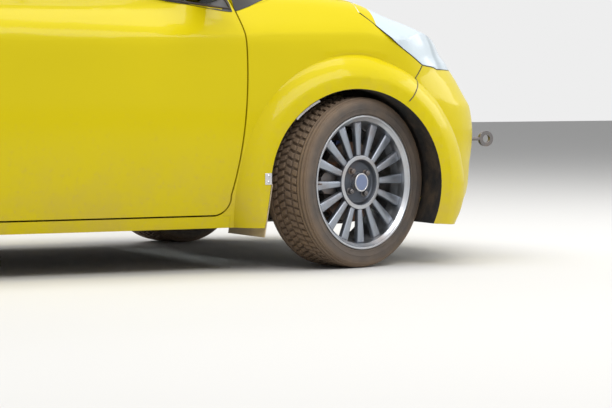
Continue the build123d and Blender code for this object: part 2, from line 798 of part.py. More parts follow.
for corner_name, moves, hub in (
    ("front_left", (LEFT_FRONT, OFFSET), front_hub),
    ("front_right", (RIGHT_FRONT, TURN, OFFSET), front_hub),
    ("rear_left", (LEFT_REAR,), rear_hub), ("rear_right", (RIGHT_REAR, TURN), rear_hub),
):
    save(place(tyre.part, *moves), f"tyre_{corner_name}")
    save(place(rim.part, *moves), f"rim_{corner_name}")
    save(place(hub.part, *moves), f"hub_{corner_name}")
save(place(knuckle.part, LEFT_FRONT), "knuckle_left")
save(place(knuckle.part.mirror(Plane.XZ), RIGHT_FRONT), "knuckle_right")

# Underbody: floor with sills and tunnel, front frame with firewall and towers, raised boot floor
well = WELL_INNER_Y - 10
with BuildPart() as underbody:
    add(block((STEP_X, -840, FLOOR_Z), (FIREWALL_X + 12, 840, FLOOR_Z + FLOOR_THICKNESS)))
    add(block((FIREWALL_X, -840, FLOOR_Z), (FIREWALL_X + 12, 840, 868)))
    add(block((STEP_X, -840, FLOOR_Z), (STEP_X + 12, 840, REAR_FLOOR_Z)))
    add(block((-1800, -well, REAR_FLOOR_Z), (STEP_X + 12, well, REAR_FLOOR_Z + 12)))
    add(block((-1300, -240, 330), (-1000, 240, REAR_FLOOR_Z)))
    for reach in (1, -1):
        inner, outer_y = sorted((reach * 676, reach * 725))
        add(block((STEP_X, inner, FLOOR_Z), (FIREWALL_X, outer_y, 300)))
        inner, outer_y = sorted((reach * 650, reach * 688))
        add(block((PILLAR_X, inner, 300), (FIREWALL_X, outer_y, 868)))
        inner, outer_y = sorted((reach * (RAIL_Y - 25), reach * (RAIL_Y + 25)))
        add(block((FIREWALL_X, inner, 400), (1790, outer_y, 470)))
        add(block((-1820, inner, 350), (STEP_X, outer_y, REAR_FLOOR_Z)))
        add(block((FIREWALL_X, inner, FLOOR_Z), (930, outer_y, 400)))
        inner, outer_y = sorted((reach * 445, reach * 465))
        add(block((1080, inner, 460), (1260, outer_y, 812)))
        add(block((-1760, inner, REAR_FLOOR_Z), (STEP_X + 12, outer_y, 660)))
        inner, outer_y = sorted((reach * 455, reach * 690))
        add(block((1080, inner, 800), (1260, outer_y, 812)))
        inner, outer_y = sorted((reach * 455, reach * 760))
        add(block((-1700, inner, 648), (STEP_X, outer_y, 660)))
        inner, outer_y = sorted((reach * 120, reach * 130))
        add(block((STEP_X, inner, FLOOR_Z), (FIREWALL_X, outer_y, 300)))
    add(block((STEP_X, -130, 290), (FIREWALL_X, 130, 300)))
    add(block((STEP_X - 10, -120, FLOOR_Z - 10), (FIREWALL_X + 20, 120, 290)), mode=Mode.SUBTRACT)
    add(block((1740, -620, 400), (1830, 620, 500)))
    add(block((-1860, -640, 340), (-1800, 640, 480)))
    add(lower_wall, mode=Mode.INTERSECT)
floor_pan_part = underbody.part
boot_floor_front = STEP_X + 12
# name, rear end, front end
for name, start, end in (
    ("floor_pan", boot_floor_front, PILLAR_X),
    ("front_frame", PILLAR_X, 2100),
    ("boot_floor", -2100, boot_floor_front),
):
    save(piece(floor_pan_part, (block((start, -FAR, 0), (end, FAR, 1200)), KEEP)), name)

# Wheel arch liners against the inside of the skin
with BuildPart() as liner_ring:
    for axle_x in (FRONT_AXLE_X, REAR_AXLE_X):
        with BuildSketch(Plane.XZ.offset(WELL_INNER_Y)):
            with Locations((axle_x, ARCH_Z)):
                Circle(LINER_R + LINER_THICKNESS)
                Circle(LINER_R, mode=Mode.SUBTRACT)
        extrude(amount=400)
    add(block((400, -FAR, -200), (FRONT_AXLE_X, 0, 312)), mode=Mode.SUBTRACT)
    add(block((FRONT_AXLE_X, -FAR, -200), (2000, 0, 235)), mode=Mode.SUBTRACT)
    add(block((-2100, -FAR, -200), (-800, 0, 312)), mode=Mode.SUBTRACT)
    add(block((1070, -660, 500), (1270, 0, 700)), mode=Mode.SUBTRACT)
    add(block((-1360, -600, 500), (-1200, 0, 700)), mode=Mode.SUBTRACT)
    add(block((-1060, -610, 200), (-900, 0, 400)), mode=Mode.SUBTRACT)
front_liner = piece(liner_ring.part, (block((400, -FAR, 0), (2000, 0, 900)), KEEP), (lower_thin, KEEP))
rear_liner = piece(liner_ring.part, (block((-2100, -FAR, 0), (-800, 0, 900)), KEEP), (lower_wall, KEEP))
with BuildPart() as arch_liners:
    add(front_liner)
    add(rear_liner)
    mirror(about=Plane.XZ)
save(arch_liners.part, "arch_liners")

# Mud flaps behind the four wheels
with BuildPart() as mud_flaps:
    for back_x in (FRONT_AXLE_X - ARCH_R + 7.6, REAR_AXLE_X - ARCH_R + 7.6):
        with BuildSketch(Plane.XZ.offset(850)):
            with BuildLine():
                Polyline(
                    (back_x, 300), (back_x + 4, 300), (back_x - 26, 118), (back_x - 30, 118), close=True,
                )
            make_face()
        extrude(amount=280, dir=(-0.03, 1, 0))
        add(block((back_x - 7.4, -846, 284), (back_x, -830, 300)))
    mirror(about=Plane.XZ)
save(mud_flaps.part, "mud_flaps")

# Tow eyes, one at each end
with BuildPart() as tow_eyes:
    for way, side_y, height in ((1, -430, 432), (-1, 430, 400)):
        with Locations(Location((way * (ENDS_X - 29), side_y, height), (90, 0, 0))):
            Cylinder(29, 14)
            Hole(15)
        add(tube((way * 1800, side_y, height), (way * (ENDS_X - 56), side_y, height), 7))
    add(floor_pan_part, mode=Mode.SUBTRACT)
save(tow_eyes.part, "tow_eyes")

# Front subframe with lower arms and kingpin posts
with BuildPart() as front_subframe:
    add(block((1000, -380, 176), (1340, 380, 206)))
    add(block((1040, -300, 150), (1300, 300, 210)), mode=Mode.SUBTRACT)
    for reach in (1, -1):
        inner, outer_y = sorted((reach * 330, reach * 390))
        add(block((1000, inner, 160), (1080, outer_y, 360)))
        add(block((1260, inner, 160), (1340, outer_y, 360)))
        inner, outer_y = sorted((reach * 330, reach * 440))
        add(block((1000, inner, 340), (1080, outer_y, 400 - SEAT_GAP)))
        add(block((1260, inner, 340), (1340, outer_y, 400 - SEAT_GAP)))
        with BuildSketch(Plane.XY.offset(150)):
            with BuildLine():
                Polyline(
                    (1050, reach * 375), (1290, reach * 375), (1192, reach * 660), (1188, reach * 728),
                    (1152, reach * 728), (1148, reach * 660), close=True,
                )
            make_face()
        extrude(amount=20)
        with Locations((FRONT_AXLE_X, reach * KINGPIN_Y, 186)):
            Cylinder(KINGPIN_R, 36)
save(front_subframe.part, "front_subframe")

# Spring legs with brackets over the knuckles
with BuildPart() as suspension_legs:
    for reach in (1, -1):
        add(tube((FRONT_AXLE_X, reach * STRUT_Y, 410), (FRONT_AXLE_X, reach * STRUT_Y, 640), 26))
        add(tube((FRONT_AXLE_X, reach * STRUT_Y, 640), (FRONT_AXLE_X, reach * STRUT_Y, 799.7), 14))
        with Locations((FRONT_AXLE_X, reach * STRUT_Y, 634)):
            add(coil(52, 158, 7))
        add(tube((FRONT_AXLE_X, reach * STRUT_Y, 630), (FRONT_AXLE_X, reach * STRUT_Y, 638), 62))
        inner, outer_y = sorted((reach * (STRUT_Y - 10), reach * (KINGPIN_Y + 16)))
        add(block((FRONT_AXLE_X - 20, inner, 420), (FRONT_AXLE_X + 20, outer_y, 440)))
        with Locations((FRONT_AXLE_X, reach * KINGPIN_Y, 410)):
            Cylinder(KINGPIN_R, 36)
save(suspension_legs.part, "suspension_legs")

# Rear axle beam, trailing arms, springs, dampers and wheel spindles
with BuildPart() as rear_axle:
    add(tube((REAR_AXLE_X + 90, -600, 270), (REAR_AXLE_X + 90, 600, 270), 38))
    for reach in (1, -1):
        add(tube((REAR_AXLE_X + 330, reach * 560, 300), (REAR_AXLE_X, reach * 600, HUB_Z), 28))
        with Locations((REAR_AXLE_X, reach * 625, HUB_Z)):
            Box(90, 70, 90)
        stub_start = (REAR_AXLE_X, reach * 640, HUB_Z)
        add(tube(stub_start, (REAR_AXLE_X, reach * (TRACK / 2 + 40), HUB_Z), SPINDLE_R))
        inner, outer_y = sorted((reach * 660, reach * 728))
        add(block((REAR_AXLE_X + 42, inner, HUB_Z - 30), (REAR_AXLE_X + 90, outer_y, HUB_Z + 30)))
        add(block((REAR_AXLE_X + 40, sorted((reach * 590, reach * 662))[0], HUB_Z - 30),
                  (REAR_AXLE_X + 90, sorted((reach * 590, reach * 662))[1], HUB_Z + 30)))
        add(tube((REAR_AXLE_X + 40, reach * 520, 290), (REAR_AXLE_X + 40, reach * 520, 647.7), 14))
        with Locations((REAR_AXLE_X + 40, reach * 520, 390)):
            add(coil(44, 220, 8))
        add(tube((REAR_AXLE_X + 40, reach * 520, 380), (REAR_AXLE_X + 40, reach * 520, 394), 54))
        add(tube((REAR_AXLE_X + 40, reach * 520, 270), (REAR_AXLE_X + 40, reach * 600, 290), 20))
        with Locations((REAR_AXLE_X + 330, reach * 560, 300)):
            Box(50, 60, 60)
        add(block((REAR_AXLE_X + 325, reach * 560 - 20, 300), (REAR_AXLE_X + 359.7, reach * 560 + 20, 390)))
save(rear_axle.part, "rear_axle")

# Engine block, exhaust and skid plate
with BuildPart() as engine:
    add(block((1180, -330, 330), (1620, 180, 780)))
    add(block((1200, 180, 410), (1560, 399.7, 560)))
    add(block((1200, 180, 330), (1560, 320, 410)))
    add(block((1240, -399.7, 420), (1560, -330, 470)))
save(engine.part, "engine")

pipe = ((1290, -60, 300), (1080, 0, 240), (-930, 0, 240), (-1130, -40, 182), (-1420, -250, 230))
with BuildPart() as exhaust:
    for start, end in zip(pipe, pipe[1:]):
        add(tube(start, end, 26))
    with Locations(*pipe[1:4]):
        Sphere(26)
    add(block((-1730, -400, 200), (-1410, -170, 320)))
    add(tube((-1700, -330, 228), (-1890, -330, 200), 28))
    add(block((-1600, -300, 318), (-1560, -260, REAR_FLOOR_Z - SEAT_GAP)))
    add(block((-300, -14, 260), (-260, 14, 290 - SEAT_GAP)))
save(exhaust.part, "exhaust")

with BuildPart() as sump_guard:
    with BuildSketch(Plane.XZ.offset(-330)):
        with BuildLine():
            Polyline((940, 138), (1420, 138), (1700, 188), (1700, 194), (1420, 144), (940, 144), close=True)
        make_face()
    extrude(amount=660)
    for reach in (1, -1):
        add(block((1010, reach * 300 - 15, 144), (1060, reach * 300 + 15, 175.7)))
        add(block((1640, reach * 300 - 15, 184), (1680, reach * 300 + 15, 399.7)))
    add(block((1640, -320, 380), (1680, 320, 399.7)))
    add(block((1640, -401, 380), (1680, -319, 399.7)))
    add(block((1640, 319, 380), (1680, 401, 399.7)))
save(sump_guard.part, "sump_guard")

# Dashboard, steering wheel, seats and roll cage
with BuildPart() as dashboard:
    with BuildSketch(Plane.XZ):
        with BuildLine():
            Polyline(
                (FIREWALL_X - SEAT_GAP, 860), (FIREWALL_X - SEAT_GAP, 640), (640, 600), (520, 700),
                (500, 800),
                (540, 866), (640, 888), (730, 880), close=True,
            )
        make_face()
    extrude(amount=625, both=True)
    add(tube((395, 360, 830), (560, 360, 760), 20 + SEAT_GAP), mode=Mode.SUBTRACT)
save(dashboard.part, "dashboard")

with BuildPart() as steering_wheel:
    with BuildSketch(Plane(origin=(395, 360, 830), z_dir=(-0.92, 0, 0.39))):
        Circle(176)
        Circle(150, mode=Mode.SUBTRACT)
        Rectangle(320, 26)
        with Locations((0, -80)):
            Rectangle(26, 160)
        Circle(34)
    extrude(amount=12, both=True)
    add(tube((395, 360, 830), (530, 360, 772.7), 20))
save(steering_wheel.part, "steering_wheel")

SEAT_RAISE = 12
SEAT_FOOT = FLOOR_Z + FLOOR_THICKNESS + SEAT_GAP - SEAT_RAISE
with BuildPart() as seat:
    with BuildSketch(Plane.XZ):
        with BuildLine():
            Polyline(
                (250, 300), (250, 420), (180, 440), (60, 430), (-90, 480), (-150, 700), (-215, 960),
                (-280, 950),
                (-265, 700), (-215, 330), (-100, 290), close=True,
            )
        make_face()
    extrude(amount=235, both=True)
    with BuildSketch(Plane.XZ):
        with BuildLine():
            Polyline(
                (260, 340), (20, 320), (-170, 360), (-225, 700), (-262, 1000), (0, 1000), (260, 700),
                close=True,
            )
        make_face()
    extrude(amount=205, both=True, mode=Mode.SUBTRACT)
    with Locations((-252, 0, 910)):
        Box(60, 240, 200)
    for reach in (1, -1):
        add(block((-180, reach * 170 - 15, SEAT_FOOT), (200, reach * 170 + 15, 300)))
with BuildPart() as seats:
    with Locations((0, 366, SEAT_RAISE), (0, -366, SEAT_RAISE)):
        add(seat.part)
save(seats.part, "seats")

# Cage tubes between named corners
foot_z = FLOOR_Z + FLOOR_THICKNESS + SEAT_GAP
hoop_x = -440
corners = {
    "hoop foot": (hoop_x, 640, foot_z), "hoop belt": (hoop_x, 650, 900), "hoop bend": (hoop_x, 555, 1290),
    "hoop top": (hoop_x, 470, 1345), "front foot": (600, 650, foot_z), "front belt": (630, 655, 880),
    "header": (215, 480, 1315), "rear foot": (-1200, 400, REAR_FLOOR_Z + 12 + SEAT_GAP),
}
runs = (
    ("hoop foot", "hoop belt"), ("hoop belt", "hoop bend"), ("hoop bend", "hoop top"), ("front foot", "front belt"),
    ("front belt", "header"), ("header", "hoop top"), ("hoop top", "rear foot"),
)
with BuildPart() as cage_side:
    for start, end in runs:
        add(tube(corners[start], corners[end], CAGE_R))
    with Locations(*(corners[name] for name in ("hoop belt", "hoop bend", "hoop top", "front belt", "header"))):
        Sphere(CAGE_R)
    for low_x, low_z, high_x, high_z in ((hoop_x, 330, 612, 640), (hoop_x, 640, 606, 330)):
        add(tube((low_x, 645, low_z), (high_x, 651, high_z), CAGE_R * 0.9))
with BuildPart() as roll_cage:
    add(cage_side.part)
    mirror(about=Plane.XZ)
    for name in ("hoop top", "header"):
        x, y, z = corners[name]
        add(tube((x, -y, z), (x, y, z), CAGE_R))
    add(tube((hoop_x, -640, 330), (hoop_x, 520, 1310), CAGE_R * 0.9))
    add(tube((hoop_x, -648, 820), (hoop_x, 648, 820), CAGE_R * 0.9))
    add(block((-700, -FAR, 0), (900, FAR, foot_z)), mode=Mode.SUBTRACT)
    add(block((-1500, -FAR, 200), (-1000, FAR, REAR_FLOOR_Z + 12 + SEAT_GAP)), mode=Mode.SUBTRACT)
save(roll_cage.part, "roll_cage")

# Door mirrors on short stalks
with BuildPart() as mirror_right:
    with Locations((MIRROR_X, -925, MIRROR_Z)):
        Box(96, 180, 120)
    fillet(mirror_right.edges(), radius=24)
    add(block((MIRROR_X - 14, -860, MIRROR_Z - 82), (MIRROR_X + 38, -600, MIRROR_Z - 34)))
    add(cabin, mode=Mode.SUBTRACT)
    add(lower, mode=Mode.SUBTRACT)
housing = Part([max(mirror_right.part.solids(), key=lambda solid: solid.volume)])
save(housing, "mirror_right")
save(housing.mirror(Plane.XZ), "mirror_left")
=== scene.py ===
"""Looks of a small rally hatchback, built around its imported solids.

Frame: metres, +X forward, +Y to the car's left, +Z up, origin on the ground.
"""

import json
import logging
import math
from dataclasses import dataclass, field
from enum import Enum
from typing import Callable, Optional, Sequence, Union

import bpy
from mathutils import Matrix, Vector
from mathutils.bvhtree import BVHTree

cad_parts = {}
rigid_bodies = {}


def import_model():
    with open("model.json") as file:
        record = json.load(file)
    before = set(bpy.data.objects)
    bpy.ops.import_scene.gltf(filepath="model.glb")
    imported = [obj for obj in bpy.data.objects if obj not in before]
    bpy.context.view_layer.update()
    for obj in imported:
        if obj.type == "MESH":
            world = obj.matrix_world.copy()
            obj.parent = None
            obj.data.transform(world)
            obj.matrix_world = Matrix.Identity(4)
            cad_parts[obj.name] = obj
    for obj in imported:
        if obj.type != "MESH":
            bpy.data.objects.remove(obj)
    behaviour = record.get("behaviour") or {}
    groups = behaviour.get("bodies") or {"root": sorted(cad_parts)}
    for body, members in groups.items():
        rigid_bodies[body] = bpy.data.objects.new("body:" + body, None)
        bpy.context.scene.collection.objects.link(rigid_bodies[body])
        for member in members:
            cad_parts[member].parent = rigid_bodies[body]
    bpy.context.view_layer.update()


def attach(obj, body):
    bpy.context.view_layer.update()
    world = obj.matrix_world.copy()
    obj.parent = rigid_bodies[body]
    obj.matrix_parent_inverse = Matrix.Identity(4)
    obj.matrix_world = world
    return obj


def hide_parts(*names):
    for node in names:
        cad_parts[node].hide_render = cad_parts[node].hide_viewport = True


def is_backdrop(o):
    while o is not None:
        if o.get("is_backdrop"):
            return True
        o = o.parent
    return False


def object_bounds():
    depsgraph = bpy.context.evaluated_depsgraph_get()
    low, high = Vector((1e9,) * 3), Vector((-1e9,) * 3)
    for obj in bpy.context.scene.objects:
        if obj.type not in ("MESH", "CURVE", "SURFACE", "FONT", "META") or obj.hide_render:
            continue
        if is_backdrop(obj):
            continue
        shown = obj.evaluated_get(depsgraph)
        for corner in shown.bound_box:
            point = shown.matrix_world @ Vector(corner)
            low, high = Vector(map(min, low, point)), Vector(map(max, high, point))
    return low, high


log = logging.getLogger("rally_hatchback")

Point = tuple[float, float, float]
Colour = tuple[float, float, float]


# ---------------------------------------------------------------- shader maths


class Socket:
    """A node's output that takes part in Python expressions."""

    def __init__(self, shader: "Shader", link: bpy.types.NodeSocket) -> None:
        """Keep the shader and the output that this value stands for."""
        self.shader = shader
        self.link = link

    def _sum(self, operation: str, first: "Value", second: "Value" = 0.0) -> "Socket":
        """One Math node of two values."""
        return self.shader.node("ShaderNodeMath", {"operation": operation}, {0: first, 1: second})

    def __add__(self, other: "Value") -> "Socket":
        """This value plus another."""
        return self._sum("ADD", self, other)

    __radd__ = __add__

    def __mul__(self, other: "Value") -> "Socket":
        """This value times another."""
        return self._sum("MULTIPLY", self, other)

    __rmul__ = __mul__

    def __sub__(self, other: "Value") -> "Socket":
        """This value less another."""
        return self._sum("SUBTRACT", self, other)

    def __rsub__(self, other: "Value") -> "Socket":
        """Another value less this one."""
        return self._sum("SUBTRACT", other, self)

    def __truediv__(self, other: "Value") -> "Socket":
        """This value over another."""
        return self._sum("DIVIDE", self, other)

    def __pow__(self, other: "Value") -> "Socket":
        """This value raised to a power."""
        return self._sum("POWER", self, other)

    def sine(self) -> "Socket":
        """The sine of this value."""
        return self._sum("SINE", self)

    def size(self) -> "Socket":
        """This value without its sign."""
        return self._sum("ABSOLUTE", self)

    def larger(self, other: "Value") -> "Socket":
        """The larger of two values."""
        return self._sum("MAXIMUM", self, other)

    def smaller(self, other: "Value") -> "Socket":
        """The smaller of two values."""
        return self._sum("MINIMUM", self, other)

    def ease(self, low: float, high: float, start: float = 0.0, end: float = 1.0) -> "Socket":
        """A smooth step between two levels.

        Args:
            low: level where the step starts.
            high: level where it ends.
            start: result at and below the low level.
            end: result at and above the high level.

        Returns:
            The eased value.
        """
        settings = {"interpolation_type": "SMOOTHSTEP"}
        return self.shader.node("ShaderNodeMapRange", settings, {0: self, 1: low, 2: high, 3: start, 4: end})


Value = Union[Socket, float, int]


class Shader:
    """One material: its node tree, its surface and the nodes that vary it."""

    def __init__(self, name: str) -> None:
        """Start a material with a Principled surface."""
        self.material = bpy.data.materials.new(name)
        self.material.use_nodes = True
        self.tree = self.material.node_tree
        self.tree.nodes.clear()
        self.surface = self.tree.nodes.new("ShaderNodeBsdfPrincipled")
        out = self.tree.nodes.new("ShaderNodeOutputMaterial")
        self.tree.links.new(self.surface.outputs[0], out.inputs[0])

    def _put(self, socket: bpy.types.NodeSocket, value: object) -> None:
        """Link a value to a socket, or set it as the socket's own."""
        if isinstance(value, Socket):
            self.tree.links.new(value.link, socket)
        elif isinstance(value, tuple) and len(value) == 3 and socket.type == "RGBA":
            socket.default_value = (*value, 1.0)
        else:
            socket.default_value = value

    def node(
        self, kind: str, settings: Optional[dict] = None, inputs: Optional[dict] = None, output: Union[int, str] = 0
    ) -> Socket:
        """Add a node.

        Args:
            kind: the node's type.
            settings: its own settings; "stops" holds a ramp's places and colours.
            inputs: values or links by input name or number.
            output: which output to return.

        Returns:
            The chosen output.
        """
        made = self.tree.nodes.new(kind)
        for key, value in (settings or {}).items():
            if key == "stops":
                while len(made.color_ramp.elements) < len(value):
                    made.color_ramp.elements.new(0.5)
                for element, (place, colour) in zip(made.color_ramp.elements, value):
                    element.position, element.color = place, (*colour, 1.0)
            else:
                setattr(made, key, value)
        for key, value in (inputs or {}).items():
            self._put(made.inputs[key], value)
        return Socket(self, made.outputs[output])

    def surface_set(self, **values: object) -> None:
        """Set the Principled surface's inputs, with underscores for spaces."""
        for key, value in values.items():
            self._put(self.surface.inputs[key.replace("_", " ")], value)

    def spot(self, centre: Point = (0, 0, 0), turn: Point = (0, 0, 0), scale: Point = (1, 1, 1)) -> Socket:
        """Object coordinates seen from a centre, turned and scaled like a texture."""
        place = self.node("ShaderNodeTexCoord", output="Object")
        inputs = {"Vector": place, "Location": centre, "Rotation": turn, "Scale": scale}
        return self.node("ShaderNodeMapping", {"vector_type": "TEXTURE"}, inputs)

    def noise(self, scale: float, detail: float = 3.0, rough: float = 0.55, vector: Optional[Socket] = None) -> Socket:
        """Fractal noise from 0 to 1."""
        vector = vector or self.node("ShaderNodeTexCoord", output="Object")
        inputs = {"Vector": vector, "Scale": scale, "Detail": detail, "Roughness": rough}
        return self.node("ShaderNodeTexNoise", None, inputs, "Fac")

    def cells(self, scale: float, vector: Optional[Socket] = None, feature: str = "F1") -> Socket:
        """Distance within scattered cells."""
        vector = vector or self.node("ShaderNodeTexCoord", output="Object")
        inputs = {"Vector": vector, "Scale": scale}
        return self.node("ShaderNodeTexVoronoi", {"feature": feature}, inputs, "Distance")

    def parts(self, vector: Socket) -> tuple[Socket, Socket, Socket]:
        """The three parts of a vector."""
        made = self.tree.nodes.new("ShaderNodeSeparateXYZ")
        self.tree.links.new(vector.link, made.inputs[0])
        return tuple(Socket(self, made.outputs[i]) for i in range(3))

    def mix(self, factor: Value, first: object, second: object) -> Socket:
        """A colour between two colours."""
        return self.node("ShaderNodeMix", {"data_type": "RGBA"}, {0: factor, 6: first, 7: second}, 2)

    def relief(self, height: Value, depth: float, rounding: float = 0.0, strength: float = 1.0) -> None:
        """Surface relief.

        Args:
            height: relief from 0 to 1.
            depth: what 1 is, in metres.
            rounding: radius that edges are softened by, in metres.
            strength: share of the relief that is used.
        """
        inputs = {"Height": height, "Distance": depth, "Strength": strength}
        if rounding:
            inputs["Normal"] = self.node("ShaderNodeBevel", {"samples": 4}, {"Radius": rounding})
        self.surface_set(Normal=self.node("ShaderNodeBump", None, inputs))


# ---------------------------------------------------------------- finishes

DUST: Colour = (0.42, 0.27, 0.15)


@dataclass(frozen=True)
class CarPaint:
    """Clear-coated paint with road dust low down and around the arches."""

    name: str
    colour: Colour
    dust: float = 0.26
    wheels: tuple[float, float] = (1.17, -1.32)

    def material(self) -> bpy.types.Material:
        """Make the paint."""
        s = Shader(self.name)
        x, y, z = s.parts(s.spot())
        patches = s.noise(7.0, 5.0, 0.62)
        low = z.ease(0.12, 0.52, 1.0, 0.0) * patches.ease(0.32, 0.70)
        spray = s.noise(60.0, 2.0).ease(0.55, 0.75) * z.ease(0.2, 0.7, 1.0, 0.0)
        rings: Value = 0.0
        for wheel in self.wheels:
            reach = ((x - wheel) * (x - wheel) + (z - 0.292) * (z - 0.292)) ** 0.5
            ring = reach.ease(0.33, 0.42, 1.0, 0.0) * s.noise(26.0, 4.0).ease(0.42, 0.66)
            rings = ring + rings
        dust = (low + rings * 0.35 + spray * 0.5).smaller(1.0) * self.dust
        tone = s.noise(2.2, 2.0)
        deep = tuple(c * 0.93 for c in self.colour)
        paint = s.mix(tone, self.colour, deep)
        chips = s.cells(190.0).ease(0.0, 0.09, 1.0, 0.0) * z.ease(0.2, 0.75, 1.0, 0.0) * s.noise(9.0).ease(0.5, 0.62)
        base = s.mix(chips * 0.6, s.mix(dust, paint, DUST), (0.16, 0.14, 0.12))
        s.surface_set(
            Base_Color=base, Roughness=0.42 + dust * 0.4, Coat_Weight=0.30 - dust * 0.3, Coat_Roughness=0.07,
            Coat_IOR=1.45, Specular_IOR_Level=0.12,
        )
        s.relief(s.noise(420.0, 1.0) * 0.5 + dust * s.noise(900.0, 2.0), 0.00008, 0.0022)
        return s.material


@dataclass(frozen=True)
class Moulding:
    """Grained moulded plastic with dust lying in its grain."""

    name: str
    colour: Colour
    rough: float = 0.55
    grain: float = 900.0
    depth: float = 0.00025
    dust: float = 0.3
    rounding: float = 0.0015

    def material(self) -> bpy.types.Material:
        """Make the plastic."""
        s = Shader(self.name)
        grain = s.cells(self.grain, None, "SMOOTH_F1")
        settled = s.noise(11.0, 5.0, 0.6).ease(0.38, 0.72) * self.dust
        worn = s.noise(3.5, 2.0)
        base = s.mix(worn * 0.5, self.colour, tuple(c * 1.35 + 0.004 for c in self.colour))
        s.surface_set(Base_Color=s.mix(settled, base, DUST), Roughness=(settled * 0.4 + self.rough + worn * 0.1))
        s.relief(grain, self.depth, self.rounding)
        return s.material


@dataclass(frozen=True)
class Metal:
    """Bare or plated metal with brushing, stains and dust."""

    name: str
    colour: Colour
    rough: float = 0.3
    stain: Colour = (0.30, 0.17, 0.09)
    stained: float = 0.3
    brush: Point = (1.0, 1.0, 1.0)
    metallic: float = 1.0
    rounding: float = 0.0012

    def material(self) -> bpy.types.Material:
        """Make the metal."""
        s = Shader(self.name)
        lines = s.noise(500.0, 2.0, 0.5, s.spot(scale=self.brush))
        stain = s.noise(14.0, 5.0, 0.65).ease(0.45, 0.75) * self.stained
        base = s.mix(lines * 0.25, self.colour, tuple(c * 0.8 for c in self.colour))
        s.surface_set(
            Base_Color=s.mix(stain, base, self.stain), Roughness=lines * 0.12 + self.rough + stain * 0.5,
            Metallic=self.metallic * (1.0 - stain * 0.9),
        )
        s.relief(lines, 0.00006, self.rounding)
        return s.material


@dataclass(frozen=True)
class Glazing:
    """Tinted clear sheet with a faint film of dust."""

    name: str
    tint: Colour
    film: float = 0.12
    index: float = 1.45

    def material(self) -> bpy.types.Material:
        """Make the glass."""
        s = Shader(self.name)
        film = s.noise(6.0, 4.0, 0.6).ease(0.35, 0.8) * self.film
        s.surface_set(
            Base_Color=s.mix(film, self.tint, (0.5, 0.42, 0.33)), Roughness=film * 1.2 + 0.01,
            Transmission_Weight=1.0, IOR=self.index,
        )
        s.relief(s.noise(3.0, 1.0), 0.0004)
        return s.material


@dataclass(frozen=True)
class Rubber:
    """Tyre or seal rubber, ribbed around a wheel's axle where one is given."""

    name: str
    colour: Colour = (0.030, 0.029, 0.028)
    dust: float = 0.5
    hub: Point = (0, 0, 0)
    turn: float = 0.0
    ribs: float = 0.0

    def material(self) -> bpy.types.Material:
        """Make the rubber."""
        s = Shader(self.name)
        local = s.spot(self.hub, (0, 0, self.turn))
        x, y, z = s.parts(local)
        reach = (x * x + z * z) ** 0.5
        cloud = s.noise(9.0, 5.0, 0.62)
        settled = cloud.ease(0.30, 0.70) * self.dust
        height = s.noise(700.0, 3.0)
        if self.ribs:
            bands = (reach * self.ribs).sine() * 0.5 + 0.5
            settled = (settled + (1.0 - bands) * 0.12 + reach.ease(0.262, 0.296) * 0.25).smaller(0.85)
            height = height * 0.35 + bands * 0.65
        base = s.mix(s.noise(40.0, 3.0), self.colour, tuple(c * 1.6 for c in self.colour))
        s.surface_set(Base_Color=s.mix(settled, base, DUST), Roughness=settled * 0.2 + 0.68)
        s.relief(height, 0.0004, 0.001)
        return s.material


@dataclass(frozen=True)
class Cloth:
    """Woven or napped fabric."""

    name: str
    colour: Colour
    thread: float = 0.0016
    napped: bool = False
    second: Optional[Colour] = None

    def material(self) -> bpy.types.Material:
        """Make the fabric."""
        s = Shader(self.name)
        x, y, z = s.parts(s.spot())
        beat = 2 * math.pi / self.thread
        across = ((x + z * 0.6) * beat).sine()
        along = (y * beat).sine()
        weave = (across * along) * 0.5 + 0.5
        if self.napped:
            weave = s.noise(1 / self.thread, 3.0, 0.7)
        worn = s.noise(6.0, 4.0).ease(0.4, 0.8)
        second = self.second or tuple(c * 1.7 + 0.01 for c in self.colour)
        base = s.mix(weave * 0.6 + worn * 0.25, self.colour, second)
        s.surface_set(Base_Color=base, Roughness=0.85 + weave * 0.1, Sheen_Weight=0.3, Sheen_Roughness=0.5)
        s.relief(weave, 0.0004)
        return s.material


@dataclass(frozen=True)
class Glow:
    """Coloured translucent moulding with fine optic lines."""

    name: str
    colour: Colour
    clear: float = 0.6
    lines: float = 900.0

    def material(self) -> bpy.types.Material:
        """Make the moulding."""
        s = Shader(self.name)
        x, y, z = s.parts(s.spot())
        optics = ((y * self.lines).sine() * (z * self.lines).sine()) * 0.5 + 0.5
        base = s.mix(optics * 0.35, self.colour, tuple(min(1.0, c * 1.5 + 0.02) for c in self.colour))
        s.surface_set(Base_Color=base, Roughness=optics * 0.06 + 0.06, Transmission_Weight=self.clear, IOR=1.49)
        s.relief(optics, 0.0006)
        return s.material


